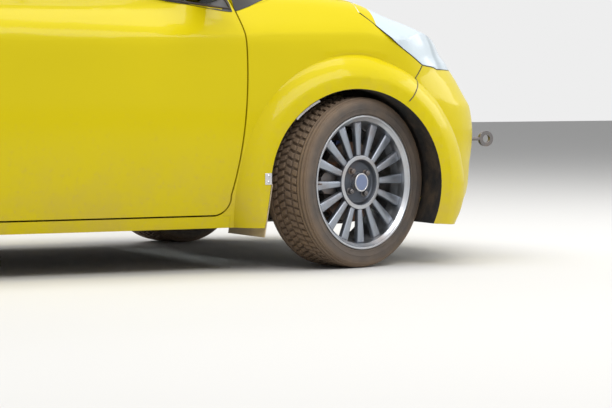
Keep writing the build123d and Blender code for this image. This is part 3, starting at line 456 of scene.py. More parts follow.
class Finish(Enum):
    """Finishes used over the whole car."""

    BODY = CarPaint("rally_yellow", (0.66, 0.535, 0.0))
    SHELL = CarPaint("shell_yellow", (0.65, 0.525, 0.0), 0.20)
    TRIM = Moulding("black_trim", (0.016, 0.016, 0.017), 0.5)
    # Black felt of the real arch liners; also the black sheet on the arch lips that paints the shade inside the arches.
    LINER = Moulding("arch_liner_felt", (0.010, 0.010, 0.010), 0.85, 260.0, 0.0008, 0.18)
    GLOSS = Moulding("gloss_black", (0.010, 0.010, 0.011), 0.12, 200.0, 0.00003, 0.08)
    SAIL = Moulding("sail_black", (0.006, 0.006, 0.006), 0.38, 200.0, 0.00003, 0.04)
    DASH = Moulding("dash_flocking", (0.022, 0.022, 0.024), 0.8, 1200.0, 0.0003, 0.08)
    CHASSIS = Moulding("underbody_grey", (0.060, 0.060, 0.062), 0.6, 300.0, 0.0004, 0.5)
    ENGINE = Metal("cast_alloy", (0.46, 0.45, 0.44), 0.5, stained=0.5)
    STEEL = Metal("dark_steel", (0.20, 0.19, 0.19), 0.42, stained=0.6)
    BRIGHT = Metal("bright_steel", (0.70, 0.70, 0.71), 0.22, stained=0.12)
    PLATE = Metal("skid_alloy", (0.62, 0.62, 0.61), 0.38, stained=0.45, brush=(0.05, 1.0, 1.0))
    # Painted shade: the disc's iron is darkened to stand in for the shade behind the spokes; its orange-brown stain is
    # rust.
    DISC = Metal("brake_iron", (0.11, 0.095, 0.085), 0.42, (0.34, 0.12, 0.03), 0.7)
    PIPE = Metal("exhaust_steel", (0.45, 0.40, 0.36), 0.35, (0.22, 0.13, 0.08), 0.6)
    SPRING = Metal("spring_blue", (0.05, 0.10, 0.30), 0.4, metallic=0.2, stained=0.25)
    CAGE = Metal("cage_white", (0.72, 0.72, 0.70), 0.35, (0.45, 0.40, 0.33), 0.25, metallic=0.0)
    COVER = Metal("engine_cover_red", (0.42, 0.02, 0.015), 0.5, (0.25, 0.18, 0.12), 0.35, metallic=0.0)
    FLAP = Moulding("flap_rubber", (0.52, 0.43, 0.28), 0.75, 300.0, 0.0003, 0.45)
    GLASS = Glazing("tinted_glass", (0.20, 0.24, 0.25))
    DARK_GLASS = Glazing("privacy_glass", (0.10, 0.12, 0.13))
    SCREEN = Glazing("windscreen_glass", (0.72, 0.78, 0.77), 0.08)
    LENS = Glazing("lamp_glazing", (0.90, 0.96, 1.0), 0.05)
    # Black rubber of the real seals and hoses; also the black rods that paint the shade in the shut seams.
    SEAL = Rubber("seal_rubber", (0.014, 0.014, 0.014), 0.15)
    SEAT = Cloth("seat_cloth", (0.018, 0.018, 0.020), 0.0032)
    HARNESS = Cloth("harness_red", (0.42, 0.012, 0.010), 0.0024)
    SUEDE = Cloth("wheel_suede", (0.020, 0.020, 0.022), 0.0011, True)
    FOAM = Cloth("cage_foam", (0.022, 0.022, 0.024), 0.0015, True)
    RED_LAMP = Glow("lamp_red", (0.45, 0.008, 0.006))

    def material(self) -> bpy.types.Material:
        """The finish's material, made once."""
        return bpy.data.materials.get(self.value.name) or self.value.material()


# ---------------------------------------------------------------- modelling bench


def only(*things: bpy.types.Object) -> None:
    """Select these objects alone and make the first one active."""
    bpy.ops.object.select_all(action="DESELECT")
    for thing in things:
        thing.select_set(True)
    bpy.context.view_layer.objects.active = things[0] if things else None


class Bench:
    """A piece being modelled with Blender's own tools."""

    def __init__(self, name: str, primitive: str, **sizes: object) -> None:
        """Add the primitive that the piece is shaped from.

        Args:
            name: the piece's name.
            primitive: which primitive, such as cube or circle.
            sizes: its sizes and place.
        """
        bpy.ops.object.select_all(action="DESELECT")
        getattr(bpy.ops.mesh, f"primitive_{primitive}_add")(**sizes)
        self.thing = bpy.context.object
        self.thing.name = self.thing.data.name = name
        only(self.thing)
        bpy.ops.object.transform_apply(location=True, rotation=True, scale=True)

    @classmethod
    def copy(cls, name: str, thing: bpy.types.Object, merge: bool = False) -> "Bench":
        """Start from a copy of another object's mesh, with its doubles merged where asked."""
        bench = cls.__new__(cls)
        bench.thing = bpy.data.objects.new(name, thing.data.copy())
        bpy.context.collection.objects.link(bench.thing)
        bench.thing.data.materials.clear()
        only(bench.thing)
        if merge:
            if bench.thing.data.has_custom_normals:
                bpy.ops.mesh.customdata_custom_splitnormals_clear()
            bench.edit(lambda: bpy.ops.mesh.remove_doubles(threshold=0.00002))
        return bench

    @classmethod
    def outline(cls, name: str, points: Sequence[Point]) -> "Bench":
        """Start from a flat face with these corners."""
        bench = cls(name, "circle", vertices=len(points), radius=0.01, fill_type="NGON")
        for corner, point in zip(bench.thing.data.vertices, points):
            corner.co = point
        return bench

    @classmethod
    def lathe(
        cls, name: str, profile: Sequence[tuple[float, float]], steps: int = 64, closed: bool = False,
        axis: Point = (0, 1, 0), across: Point = (1, 0, 0), centre: Point = (0, 0, 0),
    ) -> "Bench":
        """Spin a profile once round an axis.

        Args:
            name: the piece's name.
            profile: distances from the axis and along it.
            steps: how many steps make the turn.
            closed: whether the profile is a closed loop.
            axis: the axis.
            across: direction that distances from the axis are laid out in.
            centre: point on the axis.

        Returns:
            The bench with the turned piece.
        """
        along, out, middle = Vector(axis), Vector(across), Vector(centre)
        places = [middle + out * reach + along * height for reach, height in profile]
        bench = cls(name, "plane", size=0.001)

        def draw() -> None:
            bpy.ops.mesh.merge(type="CENTER")
            bpy.ops.transform.translate(value=places[0])
            for start, end in zip(places, places[1:]):
                bpy.ops.mesh.extrude_region_move(TRANSFORM_OT_translate={"value": end - start})
            bpy.ops.mesh.select_all(action="SELECT")
            if closed:
                bpy.ops.mesh.edge_face_add()
                bpy.ops.mesh.delete(type="ONLY_FACE")
                bpy.ops.mesh.select_all(action="SELECT")
            bpy.ops.mesh.spin(steps=steps, angle=2 * math.pi, center=middle, axis=along)
            bpy.ops.mesh.select_all(action="SELECT")
            bpy.ops.mesh.remove_doubles(threshold=0.00002)
            bpy.ops.mesh.normals_make_consistent(inside=False)

        bench.edit(draw)
        return bench

    @classmethod
    def rod(
        cls, name: str, points: Sequence[Point], radius: float, smooth: bool = True, ring: bool = False, sides: int = 4
    ) -> "Bench":
        """A round rod along points, as a bevelled curve made a mesh."""
        data = bpy.data.curves.new(name, "CURVE")
        data.dimensions = "3D"
        data.bevel_depth, data.bevel_resolution, data.use_fill_caps = radius, sides, True
        data.resolution_u = 6
        line = data.splines.new("NURBS" if smooth else "POLY")
        line.points.add(len(points) - 1)
        for place, point in zip(line.points, points):
            place.co = (*point, 1.0)
        if smooth:
            line.order_u = 3
            line.use_endpoint_u = not ring
        line.use_cyclic_u = ring
        made = bpy.data.objects.new(name, data)
        bpy.context.collection.objects.link(made)
        only(made)
        bpy.ops.object.convert(target="MESH")
        bench = cls.__new__(cls)
        bench.thing = bpy.context.object
        bench.edit(lambda: bpy.ops.mesh.remove_doubles(threshold=0.00001))
        return bench.outward()

    @property
    def mesh(self) -> bpy.types.Mesh:
        """The piece's mesh."""
        return self.thing.data

    def edit(self, steps: Callable[[], None], every: bool = True) -> "Bench":
        """Run steps in edit mode, with all selected first unless told otherwise."""
        only(self.thing)
        bpy.ops.object.mode_set(mode="EDIT")
        if every:
            bpy.ops.mesh.select_all(action="SELECT")
        steps()
        bpy.ops.object.mode_set(mode="OBJECT")
        return self

    def faces(self, test: Callable[[Vector, Vector], bool], steps: Callable[[], None]) -> "Bench":
        """Run steps on the faces whose centre and normal pass a test."""
        only(self.thing)
        bpy.ops.object.mode_set(mode="EDIT")
        bpy.ops.mesh.select_mode(type="FACE")
        bpy.ops.mesh.select_all(action="DESELECT")
        bpy.ops.object.mode_set(mode="OBJECT")
        for face in self.mesh.polygons:
            face.select = bool(test(face.center, face.normal))
        bpy.ops.object.mode_set(mode="EDIT")
        steps()
        bpy.ops.mesh.select_mode(type="VERT")
        bpy.ops.object.mode_set(mode="OBJECT")
        return self

    def extrude(self, move: Point) -> "Bench":
        """Push all that is there along a direction, leaving a closed solid."""
        self.edit(lambda: bpy.ops.mesh.extrude_region_move(TRANSFORM_OT_translate={"value": move}))
        return self.outward()

    def outward(self) -> "Bench":
        """Turn every face outwards."""
        return self.edit(lambda: bpy.ops.mesh.normals_make_consistent(inside=False))

    def modifier(self, kind: str, **settings: object) -> "Bench":
        """Add a modifier and apply it."""
        only(self.thing)
        made = self.thing.modifiers.new(kind.title(), kind)
        for key, value in settings.items():
            setattr(made, key, value)
        bpy.ops.object.modifier_apply(modifier=made.name)
        return self

    def bevel(self, width: float, segments: int = 2, angle: float = 30.0) -> "Bench":
        """Round the edges sharper than an angle."""
        return self.modifier(
            "BEVEL", width=width, segments=segments, limit_method="ANGLE", angle_limit=math.radians(angle),
            use_clamp_overlap=True,
        )

    def cut(self, levels: Sequence[tuple[Point, Sequence[float]]]) -> "Bench":
        """Add edges where level planes cross the faces.

        Args:
            levels: for each direction, the distances along it.

        Returns:
            The bench.
        """

        def slice_all() -> None:
            for way, places in levels:
                for place in places:
                    bpy.ops.mesh.select_all(action="SELECT")
                    bpy.ops.mesh.bisect(plane_co=Vector(way) * place, plane_no=way, threshold=0.00001)

        return self.edit(slice_all)

    def shaped(self, change: Callable[[Vector], Vector]) -> "Bench":
        """Move every corner to where a function puts it."""
        for corner in self.mesh.vertices:
            corner.co = change(corner.co.copy())
        self.mesh.update()
        return self

    def moved(self, matrix: Matrix) -> "Bench":
        """Move the mesh itself, keeping its faces outward when the move mirrors it."""
        self.mesh.transform(matrix)
        if matrix.determinant() < 0:
            self.mesh.flip_normals()
        self.mesh.update()
        return self

    def joined(self, *others: "Bench") -> "Bench":
        """Take other pieces into this one."""
        only(self.thing, *(other.thing for other in others))
        bpy.ops.object.join()
        return self

    def smooth(self, angle: float = 35.0) -> "Bench":
        """Shade smooth except over edges sharper than an angle."""
        only(self.thing)
        bpy.ops.object.shade_smooth_by_angle(angle=math.radians(angle))
        return self

    def done(
        self, finish: Union[Finish, bpy.types.Material], body: str, slot: str, stands_for: Sequence[str] = (),
        angle: float = 35.0,
    ) -> bpy.types.Object:
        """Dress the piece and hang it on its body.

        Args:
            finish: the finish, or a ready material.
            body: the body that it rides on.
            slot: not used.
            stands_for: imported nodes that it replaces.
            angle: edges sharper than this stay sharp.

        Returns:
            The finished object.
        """
        self.smooth(angle)
        self.mesh.materials.clear()
        self.mesh.materials.append(finish.material() if isinstance(finish, Finish) else finish)
        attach(self.thing, body)
        if stands_for:
            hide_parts(*stands_for)
        return self.thing


MIRROR = Matrix.Scale(-1, 4, (0, 1, 0))


def hand(sign: int) -> Matrix:
    """The move that takes a piece modelled on the left to a side."""
    return MIRROR if sign < 0 else Matrix.Identity(4)


# ---------------------------------------------------------------- wheels


class Corner(Enum):
    """The four wheels: name, kingpin or hub place, steer at rest, reach outboard and whether it is on the right."""

    FRONT_LEFT = ("front_left", (1.170, 0.715, 0.298), 18.0, 0.030, False)
    FRONT_RIGHT = ("front_right", (1.170, -0.715, 0.298), 18.0, 0.030, True)
    REAR_LEFT = ("rear_left", (-1.320, 0.745, 0.298), 0.0, 0.0, False)
    REAR_RIGHT = ("rear_right", (-1.320, -0.745, 0.298), 0.0, 0.0, True)

    @property
    def label(self) -> str:
        """The corner's name."""
        return self.value[0]

    @property
    def turn(self) -> float:
        """The wheel's turn about Z, in radians."""
        return math.radians(self.value[2] + (180.0 if self.value[4] else 0.0))

    @property
    def matrix(self) -> Matrix:
        """The move from a wheel modelled at the origin, outboard towards +Y, to its place."""
        out = Matrix.Translation((0, self.value[3], 0))
        return Matrix.Translation(self.value[1]) @ Matrix.Rotation(self.turn, 4, "Z") @ out


@dataclass
class Wheel:
    """A rally wheel: blocked tyre, sixteen-spoke rim, nuts, cap and valve."""

    tread_radius: float = 0.2975
    groove_radius: float = 0.2895
    pitches: int = 68
    spokes: int = 16
    spoke_root: float = 0.090
    spoke_tip: float = 0.2105
    spoke_back: float = 0.056
    spoke_depth: float = 0.018
    root_width: float = 0.0200
    tip_width: float = 0.0330
    bolt_circle: float = 0.050
    masters: dict[str, tuple[Bench, object, str]] = field(default_factory=dict)

    def around(self, bench: Bench, count: int, phase: float = 0.0) -> Bench:
        """Copy a piece round the axle, each with its own mesh, and join the copies."""
        step = 2 * math.pi / count
        copies = [
            Bench.copy("copy", bench.thing).moved(Matrix.Rotation(step * i + phase, 4, "Y")) for i in range(1, count)
        ]
        bench.moved(Matrix.Rotation(phase, 4, "Y"))
        return bench.joined(*copies) if copies else bench

    def carcass(self) -> Bench:
        """Sidewalls and groove floors, with rim protector, ribs and shoulder grooves."""
        side = [
            (0.2223, 0.062), (0.2223, 0.083), (0.2275, 0.0868), (0.2340, 0.0906), (0.2368, 0.0958), (0.2400, 0.0985),
            (0.2425, 0.0978), (0.2450, 0.0982), (0.2560, 0.1010), (0.2570, 0.1017), (0.2583, 0.1017), (0.2593, 0.1010),
            (0.2700, 0.1013), (0.2780, 0.1009), (0.2793, 0.1001), (0.2806, 0.1004), (0.2850, 0.0982), (0.2858, 0.0958),
            (0.2878, 0.0947), (0.2893, 0.0952), (0.2903, 0.0925), (0.2890, 0.0885), (0.2893, 0.0868), (0.2948, 0.0858),
            (0.2958, 0.0790), (0.2905, 0.0778), (0.2900, 0.0755), (0.2963, 0.0745), (0.2970, 0.0668), (0.2962, 0.0655),
        ]
        floor = [(self.groove_radius, 0.0640), (self.groove_radius, 0.030), (self.groove_radius, 0.0)]
        outer = side + floor
        inner = [(0.2400, 0.0860), (0.2620, 0.0930), (0.2840, 0.0840)]
        mirrored = [(reach, -along) for reach, along in reversed(outer[:-1])]
        loop = outer + mirrored + [(reach, -along) for reach, along in inner] + list(reversed(inner))
        return Bench.lathe("tyre", loop, 120, closed=True)

    def block(self, along: float, width: float, length: float, skew: float, height: float) -> Bench:
        """One bevelled tread block with an edge across it, on top of the tyre."""
        bench = Bench(
            "block", "cube", size=1.0, location=(0, along, self.groove_radius - 0.003 + height / 2),
            scale=(length, width, height),
        )
        bench.faces(
            lambda centre, normal: normal.z > 0.9,
            lambda: bpy.ops.transform.resize(value=(0.84, 0.9, 1.0), center_override=(0, along, 0)),
        )
        bench.edit(lambda: bpy.ops.mesh.bisect(plane_co=(0, along, 0), plane_no=(1, 0.12, 0)))
        bench.bevel(0.0012, 1, 40)
        shear = Matrix(((1, skew, 0, 0), (0, 1, 0, 0), (0, 0, 1, 0), (0, 0, 0, 1)))
        return bench.moved(Matrix.Translation((0, along, 0)) @ shear @ Matrix.Translation((0, -along, 0)))

    def tread(self) -> Bench:
        """Four rows of blocks round the tyre, each row stepped from the next."""
        pitch = 2 * math.pi * self.tread_radius / self.pitches
        rise = self.tread_radius - self.groove_radius + 0.003
        rows = (
            (0.0495, 0.024, 0.74, 0.30, rise, 0.5), (0.0170, 0.028, 0.72, 0.34, rise, 0.2),
            (-0.0170, 0.028, 0.72, -0.34, rise, 0.7), (-0.0495, 0.024, 0.74, -0.30, rise, 0.4),
        )
        rings = []
        for along, width, share, skew, height, phase in rows:
            block = self.block(along, width, pitch * share, skew, height)
            rings.append(self.around(block, self.pitches, phase * 2 * math.pi / self.pitches))
        return rings[0].joined(*rings[1:])

    def barrel(self) -> Bench:
        """Rim barrel with flanges, bead seats, drop centre and a stepped outer lip."""
        outer = [
            (0.2335, -0.097), (0.2335, -0.091), (0.222, -0.084), (0.216, -0.055), (0.205, -0.040), (0.205, 0.030),
            (0.216, 0.050), (0.222, 0.084), (0.2335, 0.091), (0.2335, 0.0962), (0.2318, 0.0969), (0.2280, 0.0969),
            (0.2262, 0.0955), (0.2245, 0.0925), (0.2228, 0.0900), (0.2150, 0.0850), (0.2138, 0.0835), (0.2095, 0.0600),
            (0.2080, 0.0550),
        ]
        inner = [(0.197, 0.032), (0.197, -0.042), (0.208, -0.057), (0.214, -0.086), (0.226, -0.097)]
        return Bench.lathe("rim", outer + inner, 144, closed=True).bevel(0.0006, 2, 25)

    def spoke(self) -> Bench:
        """One straight spoke, widening outwards, with a crowned face and rounded edges."""
        length = self.spoke_tip - self.spoke_root
        middle = (self.spoke_tip + self.spoke_root) / 2
        bench = Bench(
            "spoke", "cube", size=1.0, location=(0, self.spoke_back + self.spoke_depth / 2, middle),
            scale=(self.root_width, self.spoke_depth, length),
        )
        wider = self.tip_width / self.root_width
        bench.faces(
            lambda centre, normal: normal.z > 0.9,
            lambda: bpy.ops.transform.resize(value=(wider, 1.0, 1.0), center_override=(0, 0.065, self.spoke_tip)),
        )
        bench.edit(lambda: bpy.ops.mesh.subdivide(number_cuts=1))
        crown = 0.0022
        bench.faces(
            lambda centre, normal: normal.y > 0.9,
            lambda: bpy.ops.mesh.inset(thickness=0.004, depth=crown),
        )
        bench.moved(Matrix.Translation((0, -crown, 0)))
        return bench.bevel(0.0026, 3, 35)

    def centre(self) -> Bench:
        """Hub ring, recessed bowl and bolt face."""
        profile = [
            (0.028, 0.0453), (0.080, 0.0453), (0.095, 0.052), (0.095, 0.0740), (0.0935, 0.0760), (0.0900, 0.0768),
            (0.0800, 0.0768), (0.0782, 0.0762), (0.0768, 0.0745), (0.0740, 0.0660), (0.0715, 0.0615), (0.0690, 0.0600),
            (0.0350, 0.0600), (0.0330, 0.0618), (0.028, 0.0618),
        ]
        return Bench.lathe("hub_ring", profile, 96, closed=True).bevel(0.0006, 2, 30)

    def hub_lip(self) -> Bench:
        """A bright turned edge round the hub bowl."""
        profile = [(0.0800, 0.0766), (0.0935, 0.0758), (0.0935, 0.0770), (0.0900, 0.0778), (0.0805, 0.0778)]
        return Bench.lathe("hub_lip", profile, 96, closed=True)

    def nut(self) -> Bench:
        """A tapered wheel nut on its collar, with the stud's end showing."""
        up = self.bolt_circle
        collar = Bench.lathe(
            "collar", [(0.0, 0.0585), (0.0125, 0.0585), (0.0125, 0.0612), (0.0105, 0.0620), (0.0, 0.0620)], 24,
            centre=(0, 0, up), across=(0, 0, 1),
        )
        body = Bench("nut", "cylinder", vertices=6, radius=0.0098, depth=0.013, location=(0, 0, 0))
        body.faces(
            lambda centre, normal: normal.z > 0.9,
            lambda: (bpy.ops.mesh.inset(thickness=0.0018, depth=0.0014), bpy.ops.mesh.inset(thickness=0.0022, depth=0)),
        )
        body.bevel(0.0006, 1, 25)
        body.moved(Matrix.Translation((0, 0.0685, up)) @ Matrix.Rotation(-math.pi / 2, 4, "X"))
        stud = Bench.lathe(
            "stud", [(0.0, 0.066), (0.0050, 0.066), (0.0050, 0.0785), (0.0042, 0.0795), (0.0, 0.0795)], 16,
            centre=(0, 0, up), across=(0, 0, 1),
        )
        return self.around(collar.joined(body, stud), 4, math.radians(38))

    def cap(self) -> tuple[Bench, Bench]:
        """Centre cap: bright stepped ring and a domed face."""
        ring = Bench.lathe(
            "cap_ring",
            [(0.0, 0.056), (0.0277, 0.056), (0.0277, 0.0623), (0.0328, 0.0623), (0.0330, 0.0640), (0.0330, 0.0700),
             (0.0330, 0.0785), (0.0322, 0.0826), (0.0312, 0.0834), (0.0280, 0.0834), (0.0276, 0.0822), (0.0, 0.0822)],
            64,
        ).bevel(0.0004, 2, 30)
        face = Bench.lathe("cap_face", [(0.0, 0.0818), (0.0275, 0.0818), (0.0273, 0.0830), (0.0200, 0.0838),
                                        (0.0100, 0.0842), (0.0, 0.0843)], 48)
        return ring, face

    def details(self) -> Bench:
        """Tyre valve and a balance weight stuck in the barrel."""
        valve = Bench.lathe(
            "valve", [(0.0, 0.062), (0.0042, 0.062), (0.0042, 0.072), (0.0030, 0.074), (0.0030, 0.094), (0.0022, 0.096),
                      (0.0, 0.096)], 16, centre=(0.2075, 0, 0), across=(0, 0, 1),
        )
        weight = Bench("weight", "cube", size=1.0, location=(0, 0.010, 0.1955), scale=(0.034, 0.018, 0.004))
        weight.bevel(0.001, 2).moved(Matrix.Rotation(math.radians(-25), 4, "Y"))
        return valve.joined(weight)

    def build(self) -> None:
        """Model each piece once, copy it to the four corners and take the masters away."""
        cap_ring, cap_face = self.cap()
        silver = Metal("wheel_silver", (0.34, 0.37, 0.42), 0.36, (0.20, 0.12, 0.07), 0.40).material()
        polished = Metal("wheel_polished", (0.50, 0.52, 0.55), 0.26, (0.30, 0.17, 0.09), 0.35).material()
        # Painted shade: the hub bowl's metal gets a near-black colour that stands in for the shade in its recess.
        dark = Metal("wheel_bowl", (0.10, 0.11, 0.13), 0.42, (0.10, 0.06, 0.04), 0.45).material()
        slate = Moulding("cap_slate", (0.17, 0.22, 0.36), 0.35, 1500.0, 0.0006, 0.12).material()
        spokes = self.around(self.spoke(), self.spokes, math.radians(2))
        self.masters = {
            "tread": (self.tread(), None, "tyre_rubber"),
            "tyre": (self.carcass(), None, "tyre_rubber"),
            "barrel": (self.barrel(), polished, "wheel_silver"),
            "spokes": (spokes, silver, "wheel_silver"),
            "hub_ring": (self.centre(), dark, "wheel_silver"),
            "hub_lip": (self.hub_lip(), polished, "wheel_silver"),
            "nuts": (self.nut(), Finish.STEEL.material(), "steel"),
            "cap_ring": (cap_ring, Finish.BRIGHT.material(), "wheel_silver"),
            "cap_face": (cap_face, slate, "wheel_silver"),
            "valve": (self.details(), Finish.STEEL.material(), "steel"),
        }
        for corner in Corner:
            self.fit(corner)
        for bench, _, _ in self.masters.values():
            bpy.data.objects.remove(bench.thing)

    def fit(self, corner: Corner) -> None:
        """Put one wheel's pieces on its corner."""
        hub = corner.matrix.translation
        rubber = Rubber(
            f"tyre_rubber_{corner.label}", (0.040, 0.038, 0.038), 0.13, tuple(hub), corner.turn, 2300.0
        ).material()
        stands = {"tyre": [f"tyre_{corner.label}"], "barrel": [f"rim_{corner.label}"]}
        for part, (bench, finish, slot) in self.masters.items():
            copy = Bench.copy(f"wheel_{part}_{corner.label}", bench.thing).moved(corner.matrix)
            copy.done(finish or rubber, f"wheel_{corner.label}", slot, stands.get(part, ()))
        log.info("wheel %s", corner.label)


# ---------------------------------------------------------------- studio


@dataclass
class Studio:
    """Pale floor, soft lamps, plain background and the camera."""

    floor_size: float = 40.0
    azimuth: float = 334.0
    elevation: float = 3.0
    distance: float = 9.0
    aim: Point = (0.975, -0.850, 0.229)
    lens: float = 154.0

    def floor(self) -> None:
        """A wide pale floor."""
        bench = Bench("floor", "plane", size=self.floor_size)
        shader = Shader("floor_pale")
        shader.surface_set(Base_Color=(0.66, 0.65, 0.63), Roughness=0.9, Specular_IOR_Level=0.2)
        bench.mesh.materials.append(shader.material)
        bench.thing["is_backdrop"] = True

    def world(self) -> None:
        """A plain pale world that lights softly."""
        world = bpy.data.worlds.new("studio_world")
        bpy.context.scene.world = world
        world.use_nodes = True
        tree = world.node_tree
        tree.nodes.clear()
        rays = tree.nodes.new("ShaderNodeLightPath")
        shown = tree.nodes.new("ShaderNodeBackground")
        shown.inputs[0].default_value, shown.inputs[1].default_value = (0.90, 0.90, 0.90, 1), 0.95
        fill = tree.nodes.new("ShaderNodeBackground")
        fill.inputs[0].default_value, fill.inputs[1].default_value = (0.95, 0.97, 1.0, 1), 0.42
        camera, gloss = tree.nodes.new("ShaderNodeMath"), tree.nodes.new("ShaderNodeMath")
        camera.operation = gloss.operation = "MAXIMUM"
        mixed, out = tree.nodes.new("ShaderNodeMixShader"), tree.nodes.new("ShaderNodeOutputWorld")
        for source, target in (
            (rays.outputs["Is Camera Ray"], camera.inputs[0]), (rays.outputs["Is Transmission Ray"], camera.inputs[1]),
            (camera.outputs[0], gloss.inputs[0]), (rays.outputs["Is Glossy Ray"], gloss.inputs[1]),
            (gloss.outputs[0], mixed.inputs[0]), (fill.outputs[0], mixed.inputs[1]),
            (shown.outputs[0], mixed.inputs[2]),
            (mixed.outputs[0], out.inputs[0]),
        ):
            tree.links.new(source, target)

    def lamp(self, name: str, place: Point, target: Point, size: tuple[float, float], power: float) -> None:
        """One soft rectangular lamp looking at a point."""
        data = bpy.data.lights.new(name, "AREA")
        data.shape, data.size, data.size_y, data.energy = "RECTANGLE", size[0], size[1], power
        lamp = bpy.data.objects.new(name, data)
        lamp.location = place
        lamp.rotation_euler = (Vector(target) - Vector(place)).to_track_quat("-Z", "Y").to_euler()
        bpy.context.collection.objects.link(lamp)

    def camera(self) -> None:
        """The camera at the photograph's angle."""
        data = bpy.data.cameras.new("camera")
        data.sensor_width, data.lens = 36.0, self.lens
        data.clip_end = 200.0
        camera = bpy.data.objects.new("camera", data)
        turn, rise = math.radians(self.azimuth), math.radians(self.elevation)
        ahead = Vector((-math.sin(turn) * math.cos(rise), math.cos(turn) * math.cos(rise), -math.sin(rise)))
        aim = Vector(self.aim)
        camera.location = aim - ahead * self.distance
        camera.rotation_euler = ahead.to_track_quat("-Z", "Y").to_euler()
        bpy.context.collection.objects.link(camera)
        bpy.context.scene.camera = camera

    def build(self) -> None:
        """Set the studio up."""
        self.floor()
        self.world()
        self.lamp("key", (1.0, -5.5, 5.5), (0.2, -0.4, 0.5), (6.0, 3.0), 270.0)
        self.lamp("fill_left", (-1.0, 6.0, 4.5), (0.0, 0.3, 0.6), (6.0, 3.0), 240.0)
        self.lamp("top", (0.0, 0.0, 6.5), (0.0, 0.0, 0.5), (7.0, 4.0), 330.0)
        self.lamp("front", (6.5, -1.0, 3.0), (1.2, 0.0, 0.6), (4.0, 2.5), 110.0)
        scene = bpy.context.scene
        scene.view_settings.view_transform = "Standard"
        self.camera()


# ---------------------------------------------------------------- body


def ease(value: float, low: float, high: float) -> float:
    """Rise smoothly from 0 to 1 between two values."""
    share = max(0.0, min(1.0, (value - low) / (high - low)))
    return share * share * (3.0 - 2.0 * share)


def between(table: Sequence[tuple[float, float]], value: float) -> float:
    """Read a table of pairs at a value, straight between its rows."""
    if value <= table[0][0]:
        return table[0][1]
    for (low, first), (high, second) in zip(table, table[1:]):
        if value <= high:
            return first + (second - first) * (value - low) / (high - low)
    return table[-1][1]


# height, how far the nose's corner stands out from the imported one
NOSE_REACH = (
    (0.15, -0.030), (0.175, -0.008), (0.20, 0.010), (0.24, 0.020), (0.27, 0.020), (0.35, 0.010), (0.48, 0.009),
    (0.56, 0.007), (0.60, -0.007), (0.635, -0.021), (0.664, -0.033), (0.75, -0.027), (0.80, -0.020),
)


def nose(place: Vector) -> Vector:
    """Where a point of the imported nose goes: lower over the lamps and rounder at its corners."""
    lift = -0.028 * ease(place.x, 1.22, 1.42) * ease(place.z, 0.64, 0.86)
    lift += 0.024 * ease(place.x, 1.46, 1.60) * ease(place.z, 0.58, 0.67) * (1.0 - ease(place.z, 0.67, 0.77))
    lift -= 0.018 * ease(place.x, 1.45, 1.60) * (1.0 - ease(place.z, 0.155, 0.26))
    reach = between(NOSE_REACH, place.z)
    reach *= ease(place.x, 1.40, 1.62) if place.z > 0.58 else ease(place.x, 1.54, 1.68)
    side = max(-1.0, min(1.0, place.y / 0.35))
    return place + Vector((0.899 * reach, 0.438 * side * reach, lift))


class Skin:
    """Finds points on packed panels, so that trim lies on what carries it."""

    def __init__(self, *nodes: str, packed: bool = False) -> None:
        """Make a search tree of each panel's faces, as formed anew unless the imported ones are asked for."""
        things = bpy.data.objects
        formed = {name: None if packed else things.get(f"{name}_formed") for name in nodes}
        meshes = [(formed[name] or things[name]).data for name in nodes]
        self.trees = [
            BVHTree.FromPolygons([corner.co for corner in mesh.vertices], [face.vertices for face in mesh.polygons])
            for mesh in meshes
        ]

    def hit(self, start: Point, way: Point) -> Optional[tuple[Vector, Vector]]:
        """The first point met from a start along a direction, with the face's normal."""
        origin, ahead = Vector(start), Vector(way).normalized()
        found = []
        for tree in self.trees:
            place, normal, _, reach = tree.ray_cast(origin, ahead)
            if place is not None:
                found.append((reach, place, normal))
        if not found:
            return None
        _, place, normal = min(found, key=lambda item: item[0])
        return place, normal if normal.dot(ahead) < 0 else -normal

    def outermost(
        self, x: float, z: float, sign: int, shifts: Sequence[float] = (0.0, 0.0003, -0.0003)
    ) -> Optional[tuple[Vector, Vector]]:
        """The outermost point of the side near a place, so that no ray slips through a seam or a shut line."""
        hits = [self.hit((x + shift, sign * 1.3, z), (0, -sign, 0)) for shift in shifts]
        found = [hit for hit in hits if hit]
        return max(found, key=lambda hit: abs(hit[0].y)) if found else None

    def side(self, x: float, z: float, sign: int, stand: float = 0.0) -> Vector:
        """The point of the car's side at or beside a place seen from the side, standing off by so much."""
        for reach in range(0, 16, 2):
            for turn in range(8):
                over, up = math.cos(turn * math.pi / 4) * reach / 1000, math.sin(turn * math.pi / 4) * reach / 1000
                found = self.outermost(x + over, z + up, sign)
                if found:
                    return Vector((x, found[0].y, z)) + found[1] * stand
        raise ValueError(f"no panel at {x:.3f}, {z:.3f}")

    def run(self, points: Sequence[tuple[float, float]], sign: int, stand: float, step: float = 0.06) -> list[Vector]:
        """Points along a polyline seen from the side, laid on the panels."""
        laid = []
        for (x0, z0), (x1, z1) in zip(points, points[1:]):
            count = max(1, round(math.hypot(x1 - x0, z1 - z0) / step))
            for i in range(count):
                share = i / count
                laid.append((x0 + (x1 - x0) * share, z0 + (z1 - z0) * share))
        laid.append(points[-1])
        return [self.side(x, z, sign, stand) for x, z in laid]


